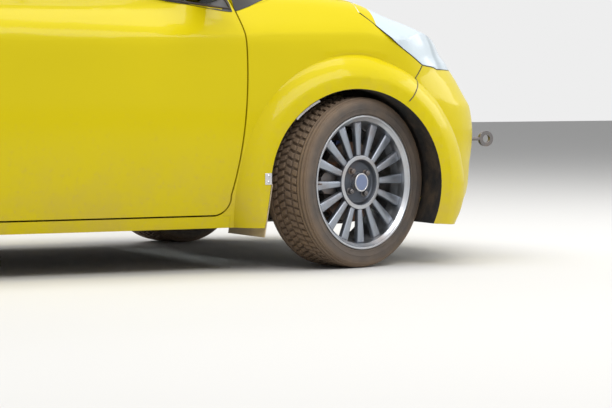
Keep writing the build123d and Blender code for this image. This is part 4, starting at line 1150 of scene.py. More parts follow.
@dataclass
class Forms:
    """The painted panels again, with a soft shoulder and the nose's real curves."""

    low: float = 0.735
    high: float = 0.885
    spread: float = 0.048
    across: tuple[float, ...] = (0.0, 0.0003, 0.004, -0.004, 0.008, -0.008)
    nodes: dict[str, str] = field(default_factory=lambda: {
        "front_fenders": "car_body", "front_bumper": "car_body", "bonnet": "bonnet", "grille": "car_body",
        "door_right": "door_right", "door_left": "door_left", "body_sides": "car_body",
    })

    def shoulder(self, bench: Bench, skin: Skin) -> Bench:
        """Soften the crease along the side by averaging the skin over a band of heights."""
        offsets = [self.spread * step / 4 for step in range(-4, 5)]

        def blurred(place: Vector) -> Vector:
            share = ease(place.z, self.low, self.low + 0.03) * ease(-place.z, -self.high, -self.high + 0.02)
            if share == 0 or abs(place.y) < 0.45:
                return place
            sign = 1 if place.y > 0 else -1
            start = skin.outermost(place.x, place.z, sign)
            if not start or abs(start[0].y - place.y) > 0.0015:
                return place
            middle = skin.outermost(place.x, place.z, sign, self.across)
            if abs(middle[0].y - start[0].y) > 0.004:
                return place
            total, weights = 0.0, 1.0
            for offset in offsets:
                found = skin.outermost(place.x, place.z + offset, sign, self.across)
                if found and abs(found[0].y - middle[0].y) < 0.05:
                    weight = 1.0 - abs(offset) / (self.spread * 1.25)
                    total, weights = total + (found[0].y - middle[0].y) * weight, weights + weight
            return Vector((place.x, place.y + total / weights * share, place.z))

        return bench.shaped(blurred)

    def build(self) -> None:
        """Form each panel anew."""
        skin = Skin("front_fenders", "door_right", "door_left", "body_sides", "headlights")
        heights = [0.15 + step * 0.03 for step in range(20)]
        shoulder = [self.low + step * 0.0125 for step in range(13)]
        lengths = [1.22 + step * 0.035 for step in range(15)]
        widths = [-0.60 + step * 0.10 for step in range(13)]
        for name, body in self.nodes.items():
            bench = Bench.copy(f"{name}_formed", bpy.data.objects[name], merge=True)
            levels = []
            if name != "bonnet":
                levels.append(((0, 0, 1), shoulder))
            if body != name and name != "body_sides":
                levels += [((0, 0, 1), heights), ((1, 0, 0), lengths)]
            if name == "bonnet":
                levels += [((1, 0, 0), lengths), ((0, 1, 0), widths)]
            bench.cut(levels)
            if name != "bonnet":
                self.shoulder(bench, skin)
            bench.shaped(nose)
            finish, slot = (Finish.TRIM, "black_plastic") if name == "grille" else (Finish.BODY, "body_yellow")
            bench.done(finish, body, slot, (name,), 32)
        log.info("panels formed")


@dataclass
class ArchLining:
    """A black sheet on the inner face of each front arch lip: painted shade standing in for the shade inside the arch.
    """

    centre: Point = (1.17, 0.0, 0.292)
    thickness: float = 0.0012

    def build(self) -> None:
        """Lay the painted-shade sheet inside the arch lip on the wing and the bumper."""
        for node in ("front_fenders", "front_bumper"):
            bench = Bench.copy(f"arch_lining_{node}", bpy.data.objects[f"{node}_formed"])

            def other(centre: Vector, normal: Vector) -> bool:
                away = Vector((centre.x - self.centre[0], 0, centre.z - self.centre[2]))
                inward = normal.dot(away.normalized()) < -0.8
                return not (0.29 < away.length < 0.36 and abs(centre.y) > 0.62 and inward)

            bench.faces(other, lambda: bpy.ops.mesh.delete(type="FACE"))
            bench.modifier("SOLIDIFY", thickness=self.thickness, offset=1.0)
            bench.done(Finish.LINER, "car_body", "black_plastic")
        log.info("arch lining")


@dataclass
class Panels:
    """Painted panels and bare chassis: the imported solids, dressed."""

    painted: tuple[str, ...] = ("roof_panel", "rear_bumper", "tailgate")
    plain: dict[str, Finish] = field(default_factory=lambda: {
        "floor_pan": Finish.CHASSIS, "front_frame": Finish.CHASSIS, "boot_floor": Finish.CHASSIS,
        "cowl_panel": Finish.TRIM, "arch_liners": Finish.LINER,
        "mud_flaps": Finish.FLAP, "tow_eyes": Finish.STEEL, "front_subframe": Finish.CHASSIS,
        "suspension_legs": Finish.SPRING, "rear_axle": Finish.CHASSIS, "engine": Finish.ENGINE,
        "exhaust": Finish.PIPE, "sump_guard": Finish.PLATE, "dashboard": Finish.DASH, "roll_cage": Finish.CAGE,
        "windscreen": Finish.SCREEN, "quarter_windows": Finish.DARK_GLASS,
        "door_glass_right": Finish.GLASS, "door_glass_left": Finish.GLASS, "rear_glass": Finish.DARK_GLASS,
        "knuckle_right": Finish.STEEL, "knuckle_left": Finish.STEEL, "mirror_right": Finish.BODY,
        "mirror_left": Finish.BODY, "steering_wheel": Finish.SUEDE, "seats": Finish.GLOSS,
        "headlights": Finish.LENS, "tail_lights": Finish.RED_LAMP,
        "hub_front_left": Finish.DISC, "hub_front_right": Finish.DISC, "hub_rear_left": Finish.DISC,
        "hub_rear_right": Finish.DISC,
    })

    def dress(self, name: str, finish: Finish) -> None:
        """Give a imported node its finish."""
        slots = bpy.data.objects[name].data.materials
        slots.clear()
        slots.append(finish.material())

    def build(self) -> None:
        """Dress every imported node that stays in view."""
        for name in self.painted:
            self.dress(name, Finish.BODY)
        for name, finish in self.plain.items():
            self.dress(name, finish)
        log.info("panels dressed")


@dataclass
class Lamps:
    """Headlamps and tail lamps: covers over reflectors, bowls and light guides, thicknesses in metres."""

    cover: float = 0.0028
    bucket: float = 0.0015
    tip_end: float = 1.30

    def parted(self, bench: Bench, name: str, test: Callable[[Vector, Vector], bool]) -> Bench:
        """Take the faces that pass a test out of a piece, as a new piece."""
        before = set(bpy.data.objects)
        bench.faces(test, lambda: bpy.ops.mesh.separate(type="SELECTED"))
        taken = Bench.__new__(Bench)
        taken.thing = (set(bpy.data.objects) - before).pop()
        taken.thing.name = taken.thing.data.name = name
        return taken

    def split(self, node: str, way: Point) -> tuple[Bench, Bench]:
        """Part a packed lamp into its outer cover and the bucket behind it.

        Args:
            node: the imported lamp, both sides in one.
            way: direction that its left cover looks in.

        Returns:
            The cover's face and the bucket, both still thin.
        """
        bucket = Bench.copy(f"{node}_bucket", bpy.data.objects[node], merge=True)
        heights = [0.64 + step * 0.02 for step in range(14)]
        lengths = [self.tip_end, *(1.24 + step * 0.035 for step in range(16))]
        bucket.cut((((0, 0, 1), heights), ((1, 0, 0), lengths)))
        bucket.shaped(nose)

        def outer(centre: Vector, normal: Vector) -> bool:
            look = Vector((way[0], way[1] * (1 if centre.y > 0 else -1), way[2]))
            return normal.dot(look.normalized()) > 0.35

        return self.parted(bucket, f"{node}_cover", outer), bucket

    def bowl(self, name: str, place: Vector, look: Vector, radius: float) -> tuple[Bench, Bench]:
        """A round reflector with its rim, and the glass ball in its middle."""
        bowl = Bench.lathe(
            name,
            [(radius, 0.010), (radius * 1.06, 0.012), (radius * 1.06, 0.004), (radius * 0.80, -0.012),
             (radius * 0.45, -0.022), (0.0, -0.025), (0.0, -0.022), (radius * 0.42, -0.018), (radius * 0.76, -0.008)],
            40, closed=True,
        )
        ball = Bench.lathe(
            f"{name}_ball",
            [(0.0, 0.006), (radius * 0.22, 0.004), (radius * 0.42, -0.002), (radius * 0.5, -0.010), (0.0, -0.012)], 32,
        )
        turn = Vector((0, 1, 0)).rotation_difference(look).to_matrix().to_4x4()
        for bench in (bowl, ball):
            bench.moved(Matrix.Translation(place) @ turn)
        return bowl, ball

    def head(self) -> None:
        """Headlamp covers with their painted tips, reflectors, two bowls each and the guide line below."""
        cover, bucket = self.split("headlights", (0.5, 0.75, 0.45))
        cover.modifier("SOLIDIFY", thickness=self.cover, offset=-1.0)
        tip = self.parted(cover, "headlight_shoulders", lambda centre, normal: centre.x < self.tip_end)
        tip.done(Finish.BODY, "car_body", "body_yellow", (), 50)
        shader = Shader("lamp_cover")
        x, _, z = shader.parts(shader.spot())
        film = shader.noise(6.0, 4.0, 0.6).ease(0.35, 0.8) * 0.06
        bend = x + z * 0.35
        # Painted shade: a darker arc is mixed into the cover's colour along its front edge.
        shade_arc = bend.ease(1.815, 1.835) * bend.ease(1.840, 1.875, 1.0, 0.0)
        pale = shader.mix(shade_arc * 0.55, (0.60, 0.69, 0.75), (0.20, 0.27, 0.31))
        shader.surface_set(
            Base_Color=shader.mix(film, pale, (0.5, 0.42, 0.33)), Roughness=film + 0.22,
            Coat_Weight=0.25, Coat_Roughness=0.12, Alpha=bend.ease(1.875, 1.96, 0.95, 0.25),
        )
        shader.relief(shader.noise(3.0, 1.0), 0.0003)
        cover.done(shader.material, "car_body", "lamp_lens", ("headlights",), 50)
        bucket.modifier("SOLIDIFY", thickness=self.bucket, offset=-1.0)
        reflector = Metal("lamp_reflector", (0.66, 0.73, 0.80), 0.22, stained=0.04, metallic=0.75).material()
        bucket.done(reflector, "car_body", "lamp_lens")
        skin = Skin("headlights")
        for name, sign in (("right", -1), ("left", 1)):
            for part, (x, z, radius) in enumerate(((1.560, 0.752, 0.036), (1.645, 0.722, 0.034))):
                face = nose(skin.side(x, z, sign, -0.034))
                look = Vector((0.86, 0.50 * sign, 0.06)).normalized()
                bowl, ball = self.bowl(f"lamp_bowl_{name}_{part}", face, look, radius)
                bowl.done(Finish.BRIGHT, "car_body", "lamp_lens")
                ball.done(Finish.LENS, "car_body", "lamp_lens")
            low = ((1.335, 0.845), (1.420, 0.790), (1.500, 0.736), (1.600, 0.692), (1.700, 0.682))
            line = [nose(point) for point in skin.run(low, sign, -0.012)]
            guide = Bench.rod(f"lamp_guide_{name}", line, 0.0042)
            glow = Glow("lamp_guide_white", (0.86, 0.91, 0.95), 0.25, 1400.0)
            made = bpy.data.materials.get(glow.name) or glow.material()
            guide.done(made, "car_body", "lamp_lens")

    def tail(self) -> None:
        """Tail lamp covers over red, amber and clear chambers."""
        cover, bucket = self.split("tail_lights", (-0.6, 0.75, 0.1))
        cover.modifier("SOLIDIFY", thickness=self.cover, offset=-1.0)
        shader = Shader("tail_cover")
        x, y, z = shader.parts(shader.spot())
        clear = z.ease(0.768, 0.771) * z.ease(0.803, 0.806, 1.0, 0.0)
        amber = z.ease(0.806, 0.809) * z.ease(0.838, 0.841, 1.0, 0.0)
        red = shader.mix(clear, (0.55, 0.012, 0.010), (0.85, 0.85, 0.86))
        optics = ((y * 1100.0).sine() * (z * 1100.0).sine()) * 0.5 + 0.5
        shader.surface_set(
            Base_Color=shader.mix(amber, red, (0.85, 0.28, 0.02)), Roughness=optics * 0.05 + 0.05,
            Transmission_Weight=0.55, IOR=1.49,
        )
        shader.relief(optics, 0.0005)
        cover.done(shader.material, "car_body", "tail_lens", ("tail_lights",), 50)
        bucket.modifier("SOLIDIFY", thickness=self.bucket, offset=-1.0)
        reflector = Metal("tail_reflector", (0.62, 0.30, 0.28), 0.25, stained=0.04, metallic=0.6).material()
        bucket.done(reflector, "car_body", "tail_lens")

    def build(self) -> None:
        """Build all four lamps."""
        self.head()
        self.tail()
        log.info("lamps")


@dataclass
class SideTrim:
    """Window seals, dark sails, black rods painting the shade in the shut seams, handles, mirror glasses and mud flap
    brackets.
    """

    door_window: tuple = (
        (0.735, 0.898), (0.430, 0.938), (-0.020, 0.986), (-0.430, 1.013), (-0.425, 1.308), (-0.390, 1.328),
        (-0.200, 1.334), (0.110, 1.322), (0.724, 0.948),
    )
    quarter_window: tuple = (
        (-0.515, 1.020), (-1.010, 1.040), (-1.130, 1.062), (-1.150, 1.105), (-1.085, 1.240), (-1.020, 1.300),
        (-0.940, 1.318), (-0.510, 1.332),
    )
    door_sail: tuple = (
        (0.400, 0.9362, 0.944), (0.443, 0.9305, 0.940), (0.571, 0.9120, 0.924), (0.664, 0.8960, 0.914),
        (0.705, 0.8895, 0.926), (0.728, 0.8870, 0.945), (0.7360, 0.8870, 0.940), (0.7420, 0.8880, 0.920),
    )
    wing_sail: tuple = (
        (0.7535, 0.8895, 0.985), (0.7700, 0.8925, 0.978), (0.8140, 0.9065, 0.960), (0.8500, 0.9205, 0.945),
        (0.8780, 0.9300, 0.9335),
    )
    # Painted shade: black rods laid along these shut lines stand in for the shade in the gaps between panels.
    seams: dict[str, tuple] = field(default_factory=lambda: {
        "bumper": ((1.372, 0.580), (1.430, 0.640), (1.495, 0.707)),
        "lamp": ((1.246, 0.8905), (1.330, 0.829), (1.415, 0.768), (1.495, 0.712), (1.600, 0.668), (1.760, 0.661)),
    })
    seal: float = 0.0045

    def ring(self, name: str, outline: Sequence[tuple[float, float]], skin: Skin, sign: int, grow: float,
             stand: float, radius: float) -> Bench:
        """A rubber ring laid on the side along an outline grown by so much."""
        middle_x = sum(p[0] for p in outline) / len(outline)
        middle_z = sum(p[1] for p in outline) / len(outline)
        grown = []
        for x, z in outline:
            away = Vector((x - middle_x, z - middle_z)).normalized() * grow
            grown.append((x + away.x, z + away.y))
        laid = skin.run([*grown, grown[0]], sign, stand)[:-1]
        return Bench.rod(name, laid, radius, smooth=False, ring=True)

    def handle(self, name: str, sign: int, skin: Skin) -> None:
        """A pull handle bowed off the door, with its lock."""
        place = skin.side(-0.300, 0.800, sign)
        bar = Bench("handle", "cube", size=1.0, location=(0, 0, 0), scale=(0.175, 0.014, 0.026))
        bar.edit(lambda: bpy.ops.mesh.subdivide(number_cuts=5))
        for corner in bar.mesh.vertices:
            share = corner.co.x / 0.0875
            corner.co.y += 0.026 * (1 - share**4) ** 0.5 if abs(share) < 1 else 0.0
            corner.co.z *= 1.0 - 0.18 * share * share
        bar.bevel(0.003, 2).modifier("SUBSURF", levels=1, render_levels=1)
        bar.moved(Matrix.Translation(place - Vector((0, sign * 0.004, 0))) @ hand(sign))
        bar.thing.name = f"door_handle_{name}"
        bar.done(Finish.SHELL, f"door_{name}", "body_yellow", (), 40)
        lock = Bench.lathe(
            f"door_lock_{name}", [(0.0, -0.004), (0.0105, -0.004), (0.0105, 0.0015), (0.009, 0.0028), (0.0, 0.0028)], 24
        )
        seat = skin.side(-0.190, 0.800, sign)
        lock.moved(Matrix.Translation(seat) @ hand(sign)).done(Finish.BRIGHT, f"door_{name}", "steel")

    def mirror_glass(self, name: str, sign: int) -> None:
        """Mirror glass in its bezel on the housing's rear face."""
        glass = Bench("mirror", "plane", size=1.0)
        glass.edit(lambda: bpy.ops.mesh.bevel(offset=0.16, segments=6, affect="VERTICES"))
        glass.moved(Matrix.Diagonal((0.140, 0.082, 1.0, 1.0))).extrude((0, 0, 0.003))
        bezel = Bench.copy(f"mirror_bezel_{name}", glass.thing)
        bezel.moved(Matrix.Diagonal((1.07, 1.12, 2.0, 1.0))).bevel(0.0012, 2)
        turn = Matrix.Translation((0.5945, sign * 0.925, 1.045)) @ Matrix.Rotation(math.radians(-90), 4, "Y") \
            @ Matrix.Rotation(math.radians(90), 4, "Z")
        glass.moved(Matrix.Translation((0, 0, 0.0035))).moved(turn)
        bezel.moved(turn).done(Finish.TRIM, f"door_{name}", "black_plastic")
        glass.thing.name = f"mirror_glass_{name}"
        chrome = bpy.data.materials.get("mirror_silver") or Metal(
            "mirror_silver", (0.82, 0.84, 0.86), 0.03, stained=0.04).material()
        glass.done(chrome, f"door_{name}", "steel")

    def sheet(self, name: str, rows: Sequence[tuple[float, float, float]], sign: int, body: str, skin: Skin) -> None:
        """A thin black sheet over the side.

        Args:
            name: the piece's name.
            rows: place along the car, lower and upper height.
            sign: 1 for the left side.
            body: the body that it rides on.
            skin: the panels under its edges.
        """
        bench = Bench(name, "grid", x_subdivisions=len(rows) - 1, y_subdivisions=3, size=2.0)
        edges = [(skin.side(x, low, sign, 0.0012), skin.side(x, high, sign, 0.0012)) for x, low, high in rows]

        def laid(place: Vector) -> Vector:
            low, high = edges[round((place.x + 1.0) / 2.0 * (len(rows) - 1))]
            return low.lerp(high, (place.y + 1.0) / 2.0)

        bench.shaped(laid).extrude((0, -sign * 0.0018, 0))
        bench.done(Finish.SAIL, body, "black_plastic")

    def bracket(self, name: str, x: float, sign: int, skin: Skin) -> None:
        """A small riveted plate that holds a mud flap to the arch."""
        place = skin.side(x, 0.318, sign, 0.0005)
        plate = Bench("bracket", "cube", size=1.0, scale=(0.026, 0.003, 0.040))
        plate.bevel(0.0018, 2)
        rivets = [
            Bench.lathe("rivet", [(0.0, 0.0), (0.0042, 0.0), (0.0036, 0.0028), (0.0018, 0.0040), (0.0, 0.0042)], 12,
                        centre=(0, 0.0012, up)) for up in (-0.011, 0.011)
        ]
        plate.joined(*rivets).moved(Matrix.Translation(place) @ hand(sign))
        plate.thing.name = f"flap_bracket_{name}"
        plate.done(Finish.BRIGHT, "car_body", "steel")

    def build(self) -> None:
        """Trim both sides."""
        for name, sign in (("right", -1), ("left", 1)):
            door, body = f"door_{name}", "car_body"
            door_skin = Skin(door, f"door_glass_{name}")
            fixed_skin = Skin("body_sides", "quarter_windows", "front_fenders")
            self.ring(f"door_window_seal_{name}", self.door_window, door_skin, sign, 0.002, 0.0, self.seal).done(
                Finish.SEAL, door, "black_plastic")
            self.ring(f"quarter_window_seal_{name}", self.quarter_window, fixed_skin, sign, 0.002, 0.0, self.seal).done(
                Finish.SEAL, body, "black_plastic")
            self.sheet(f"door_sail_{name}", self.door_sail, sign, door, door_skin)
            self.sheet(f"wing_sail_{name}", self.wing_sail, sign, body, fixed_skin)
            packed = Skin("front_fenders", "front_bumper", "headlights", packed=True)
            # Painted shade: a black rod along each shut line.
            for part, seam in self.seams.items():
                line = [nose(point) for point in packed.run(seam, sign, 0.0002, 0.010)]
                Bench.rod(f"{part}_seam_{name}", line, 0.0019, smooth=False).done(Finish.SEAL, body, "black_plastic")
            self.handle(name, sign, door_skin)
            self.mirror_glass(name, sign)
            self.bracket(f"front_{name}", 0.828, sign, fixed_skin)
        log.info("side trim")


@dataclass
class Cushion:
    name: str
    size: Point
    corner: float = 0.05
    crown: float = 0.012
    cap: float = 0.010
    channels: tuple[float, ...] = ()

    def build(self) -> Bench:
        """Model the pad round the origin, its top towards +Z."""
        bench = Bench(self.name, "cube", size=1.0, scale=self.size)
        bench.edit(lambda: bpy.ops.mesh.subdivide(number_cuts=7))
        half = [value / 2 for value in self.size]
        for corner in bench.mesh.vertices:
            across, along = corner.co.x / half[0], corner.co.y / half[1]
            fall = (1 - across**4) * (1 - along**4)
            if corner.co.z > 0:
                corner.co.z += self.crown * fall - 0.35 * half[2] * (1 - fall)
            corner.co.x *= 1 - 0.05 * along * along
            corner.co.y *= 1 - 0.05 * across * across
        bench.bevel(min(self.size[2] * 0.28, 0.012), 3, 50)
        self.swell(bench)
        if self.channels:
            None
            for corner in bench.mesh.vertices:
                if corner.co.z > 0:
                    near = min(abs(corner.co.x - place) for place in self.channels)
                    corner.co.z -= 0.006 * math.exp(-((near / 0.006) ** 2))
        bench.modifier("SUBSURF", levels=1, render_levels=1)
        return bench

    def swell(self, bench: Bench) -> None:
        """Blow the pad up a little as cloth, with no point moving past the cap."""
        bench.modifier("REMESH", mode="VOXEL", voxel_size=0.006)
        start = [corner.co.copy() for corner in bench.mesh.vertices]
        cloth = bench.thing.modifiers.new("Cloth", "CLOTH")
        cloth.settings.use_pressure = True
        cloth.settings.uniform_pressure_force = 4.0
        cloth.settings.quality = 4
        cloth.settings.effector_weights.gravity = 0.0
        cloth.point_cache.frame_start, cloth.point_cache.frame_end = 1, 12
        scene = bpy.context.scene
        for frame in range(1, 13):
            scene.frame_set(frame)
        shaped = bench.thing.evaluated_get(bpy.context.evaluated_depsgraph_get()).data
        moved = [corner.co.copy() for corner in shaped.vertices]
        bench.thing.modifiers.remove(cloth)
        scene.frame_set(1)
        for corner, old, new in zip(bench.mesh.vertices, start, moved):
            step = new - old
            if step.length > self.cap:
                step *= self.cap / step.length
            corner.co = old + step


@dataclass
class Cabin:
    """Seat pads, harnesses, steering wheel, instruments, levers and cage padding."""

    seat_y: float = 0.366
    raise_z: float = 0.012
    wheel_centre: Point = (0.395, 0.360, 0.830)
    wheel_normal: Point = (-0.92, 0.0, 0.39)
    wheel_radius: float = 0.163
    grip: float = 0.0145

    def pads(self) -> None:
        """Base, back and head pads of both seats."""
        made = {
            "base": (Cushion("seat_base", (0.270, 0.380, 0.040), channels=(-0.06, 0.0, 0.06)),
                     (0.085, 0.0, 0.448), 4.0),
            "back": (Cushion("seat_back", (0.400, 0.370, 0.036), channels=(-0.12, -0.06, 0.0, 0.06, 0.12)),
                     (-0.118, 0.0, 0.690), -76.0),
            "head": (Cushion("seat_head", (0.150, 0.210, 0.034)), (-0.204, 0.0, 0.930), -78.0),
        }
        for part, (cushion, place, tilt) in made.items():
            master = cushion.build()
            for name, sign in (("right", -1), ("left", 1)):
                pad = Bench.copy(f"seat_{part}_pad_{name}", master.thing)
                turn = Matrix.Rotation(math.radians(-tilt), 4, "Y")
                where = Vector((place[0], sign * self.seat_y, place[2] + self.raise_z))
                pad.moved(Matrix.Translation(where) @ turn)
                pad.done(Finish.SEAT, "car_body", "seat_shell", (), 60)
            bpy.data.objects.remove(master.thing)

    def strap(self, name: str, path: Sequence[Point], width: float, side: Point = (0, 1, 0)) -> Bench:
        """A flat strap laid along a path."""
        half = Vector(side).normalized() * width / 2
        bench = Bench(name, "plane", size=0.001)
        first = Vector(path[0])

        def draw() -> None:
            bpy.ops.mesh.merge(type="CENTER")
            bpy.ops.transform.translate(value=first - half)
            for start, end in zip(path, path[1:]):
                bpy.ops.mesh.extrude_region_move(TRANSFORM_OT_translate={"value": Vector(end) - Vector(start)})
            bpy.ops.mesh.select_all(action="SELECT")
            bpy.ops.mesh.extrude_region_move(TRANSFORM_OT_translate={"value": half * 2})
            bpy.ops.mesh.select_all(action="SELECT")
            bpy.ops.mesh.normals_make_consistent(inside=False)

        bench.edit(draw)
        return bench.modifier("SOLIDIFY", thickness=0.0024, offset=0.0).modifier("SUBSURF", levels=1, render_levels=1)

    def harness(self, name: str, sign: int) -> None:
        """Shoulder and lap straps with their buckle."""
        y, up = sign * self.seat_y, self.raise_z
        for tag, offset in (("inner", -0.075), ("outer", 0.075)):
            path = [
                (-0.158, y + offset, 0.850 + up), (-0.138, y + offset, 0.780 + up), (-0.104, y + offset, 0.700 + up),
                (-0.078, y + offset * 0.9, 0.620 + up), (-0.046, y + offset * 0.7, 0.560 + up),
                (-0.012, y + offset * 0.4, 0.515 + up), (0.010, y + offset * 0.3, 0.500 + up),
            ]
            self.strap(f"shoulder_strap_{tag}_{name}", path, 0.048).done(
                Finish.HARNESS, "car_body", "seat_shell", (), 70)
            lap = [
                (0.010, y + offset * 0.3, 0.496 + up), (0.004, y + offset * 1.2, 0.502 + up),
                (-0.020, y + offset * 2.1, 0.486 + up), (-0.052, y + offset * 2.5, 0.452 + up),
            ]
            self.strap(f"lap_strap_{tag}_{name}", lap, 0.046, (1, 0, 0.5)).done(
                Finish.HARNESS, "car_body", "seat_shell", (), 70)
        buckle = Bench.lathe(
            f"harness_buckle_{name}",
            [(0.0, -0.008), (0.030, -0.008), (0.032, -0.005), (0.032, 0.004), (0.026, 0.009), (0.012, 0.011),
             (0.0, 0.011)],
            32, axis=(0.25, 0, 0.97), across=(0, 1, 0), centre=(0.012, y, 0.507 + up),
        )
        buckle.bevel(0.001, 2).done(Finish.BRIGHT, "car_body", "steel")

    def steering(self) -> None:
        """Flat-bottomed rim with three waisted spokes, their boss and the column."""
        rim = Bench("steering_rim", "torus", major_radius=self.wheel_radius, minor_radius=self.grip,
                    major_segments=72, minor_segments=16)
        for corner in rim.mesh.vertices:
            if corner.co.x < -0.118:
                corner.co.x = -0.118 + (corner.co.x + 0.118) * 0.35
        spoke = Bench("steering_spoke", "cube", size=1.0, location=(0.085, 0, 0), scale=(0.150, 0.040, 0.005))
        spoke.edit(lambda: bpy.ops.mesh.subdivide(number_cuts=3))
        for corner in spoke.mesh.vertices:
            corner.co.y *= 1.0 - 0.35 * math.sin(math.pi * min(max((corner.co.x - 0.01) / 0.15, 0), 1))
        spoke.bevel(0.0015, 2)
        arms = [Bench.copy("arm", spoke.thing).moved(Matrix.Rotation(math.radians(turn), 4, "Z")) for turn in (90, -90)]
        spoke.moved(Matrix.Rotation(math.pi, 4, "Z")).moved(Matrix.Diagonal((0.76, 1, 1, 1)))
        boss = Bench.lathe(
            "boss", [(0.0, -0.020), (0.040, -0.020), (0.046, -0.004), (0.046, 0.006), (0.040, 0.010), (0.026, 0.012),
                     (0.022, 0.018), (0.0, 0.019)], 48, axis=(0, 0, 1), across=(1, 0, 0),
        )
        spoke.joined(*arms, boss)
        normal = Vector(self.wheel_normal).normalized()
        column_y = Vector((0, 1, 0))
        frame = Matrix((column_y.cross(normal), column_y, normal)).transposed().to_4x4()
        place = Matrix.Translation(self.wheel_centre) @ frame
        column = Bench.lathe("column", [(0.0, -0.140), (0.019, -0.140), (0.019, -0.060), (0.030, -0.040),
                                        (0.030, -0.018), (0.0, -0.018)], 32, axis=(0, 0, 1), across=(1, 0, 0))
        rim.moved(place).done(Finish.SUEDE, "car_body", "wheel_rim_suede", ("steering_wheel",))
        spoke.moved(place).done(Finish.GLOSS, "car_body", "black_plastic")
        column.moved(place).done(Finish.STEEL, "car_body", "steel")

    def instruments(self) -> None:
        """Instrument hood with its blank display, and the switch panel with its toggles."""
        hood = Bench("instrument_hood", "cube", size=1.0, location=(0.575, 0.360, 0.905), scale=(0.110, 0.270, 0.070))
        hood.faces(
            lambda centre, normal: normal.x < -0.9,
            lambda: (bpy.ops.mesh.inset(thickness=0.007, depth=0.0), bpy.ops.mesh.extrude_region_move(
                TRANSFORM_OT_translate={"value": (0.030, 0, 0)})),
        )
        hood.bevel(0.005, 3).done(Finish.DASH, "car_body", "dash_flock")
        screen = Bench("display_blank", "cube", size=1.0, location=(0.549, 0.360, 0.905), scale=(0.004, 0.230, 0.048))
        screen.bevel(0.0012, 2).done(Finish.GLOSS, "car_body", "black_plastic")
        panel = Bench("switch_panel", "cube", size=1.0, location=(0.512, 0.0, 0.770), scale=(0.026, 0.240, 0.100))
        panel.bevel(0.004, 2)
        toggles = []
        for row, up in enumerate((0.745, 0.795)):
            for column in range(6):
                across = -0.090 + 0.036 * column
                toggles.append(Bench.lathe(
                    "toggle",
                    [(0.0, 0.0), (0.006, 0.0), (0.006, 0.004), (0.0022, 0.006), (0.0030, 0.018), (0.0, 0.020)],
                    12, axis=(-1, 0, 0.25 if row else -0.25), across=(0, 1, 0), centre=(0.499, across, up)))
        panel.done(Finish.TRIM, "car_body", "black_plastic")
        toggles[0].joined(*toggles[1:])
        toggles[0].thing.name = "switch_toggles"
        toggles[0].done(Finish.BRIGHT, "car_body", "steel")

    def levers(self) -> None:
        """Gear lever with its gaiter, hydraulic handbrake and pedals."""
        gaiter = Bench.lathe(
            "gear_gaiter", [(0.0, 0.0), (0.060, 0.0), (0.056, 0.010), (0.046, 0.018), (0.050, 0.026), (0.036, 0.040),
                            (0.038, 0.050), (0.020, 0.072), (0.011, 0.090), (0.0, 0.090)], 32, axis=(0, 0, 1),
            across=(1, 0, 0), centre=(0.200, 0.0, 0.2998),
        )
        gaiter.modifier("SUBSURF", levels=1, render_levels=1).done(Finish.SUEDE, "car_body", "wheel_rim_suede", (), 60)
        lever = Bench.rod("gear_lever", [(0.200, 0.0, 0.370), (0.196, 0.008, 0.500), (0.200, 0.030, 0.620)], 0.008)
        knob = Bench("knob", "uv_sphere", radius=0.024, location=(0.200, 0.032, 0.632), segments=24, ring_count=16)
        knob.moved(Matrix.Translation((0, 0, 0.006)))
        lever.joined(knob).done(Finish.BRIGHT, "car_body", "steel")
        brake = Bench.rod("hand_lever", [(0.140, 0.085, 0.2995), (0.120, 0.085, 0.430), (0.110, 0.085, 0.600)], 0.009)
        grip = Bench.rod("hand_grip", [(0.113, 0.085, 0.520), (0.110, 0.085, 0.560), (0.108, 0.085, 0.640)], 0.015)
        brake.joined(grip).done(Finish.STEEL, "car_body", "steel")
        for tag, across in (("clutch", 0.460), ("brake", 0.370), ("throttle", 0.285)):
            pad = Bench(f"pedal_{tag}", "cube", size=1.0, location=(0.735, across, 0.290),
                        scale=(0.008, 0.060 if tag != "throttle" else 0.045, 0.080))
            pad.bevel(0.002, 2)
            arm = Bench.rod("arm", [(0.741, across, 0.300), (0.770, across, 0.400), (0.796, across, 0.560)], 0.007)
            pad.joined(arm).done(Finish.BRIGHT, "car_body", "steel")

    def padding(self) -> None:
        """Foam sleeves on the cage beside the heads."""
        for name, sign in (("right", -1), ("left", 1)):
            sleeve = Bench.rod(
                f"cage_foam_{name}", [(-0.380, sign * 0.4708, 1.3424), (-0.150, sign * 0.4743, 1.3319),
                                      (0.100, sign * 0.4782, 1.3203)], 0.030, smooth=False, sides=6)
            sleeve.bevel(0.002, 1, 60).done(Finish.FOAM, "car_body", "dash_flock")

    def build(self) -> None:
        """Fit the cabin out."""
        self.pads()
        for name, sign in (("right", -1), ("left", 1)):
            self.harness(name, sign)
        self.steering()
        self.instruments()
        self.levers()
        self.padding()
        log.info("cabin")


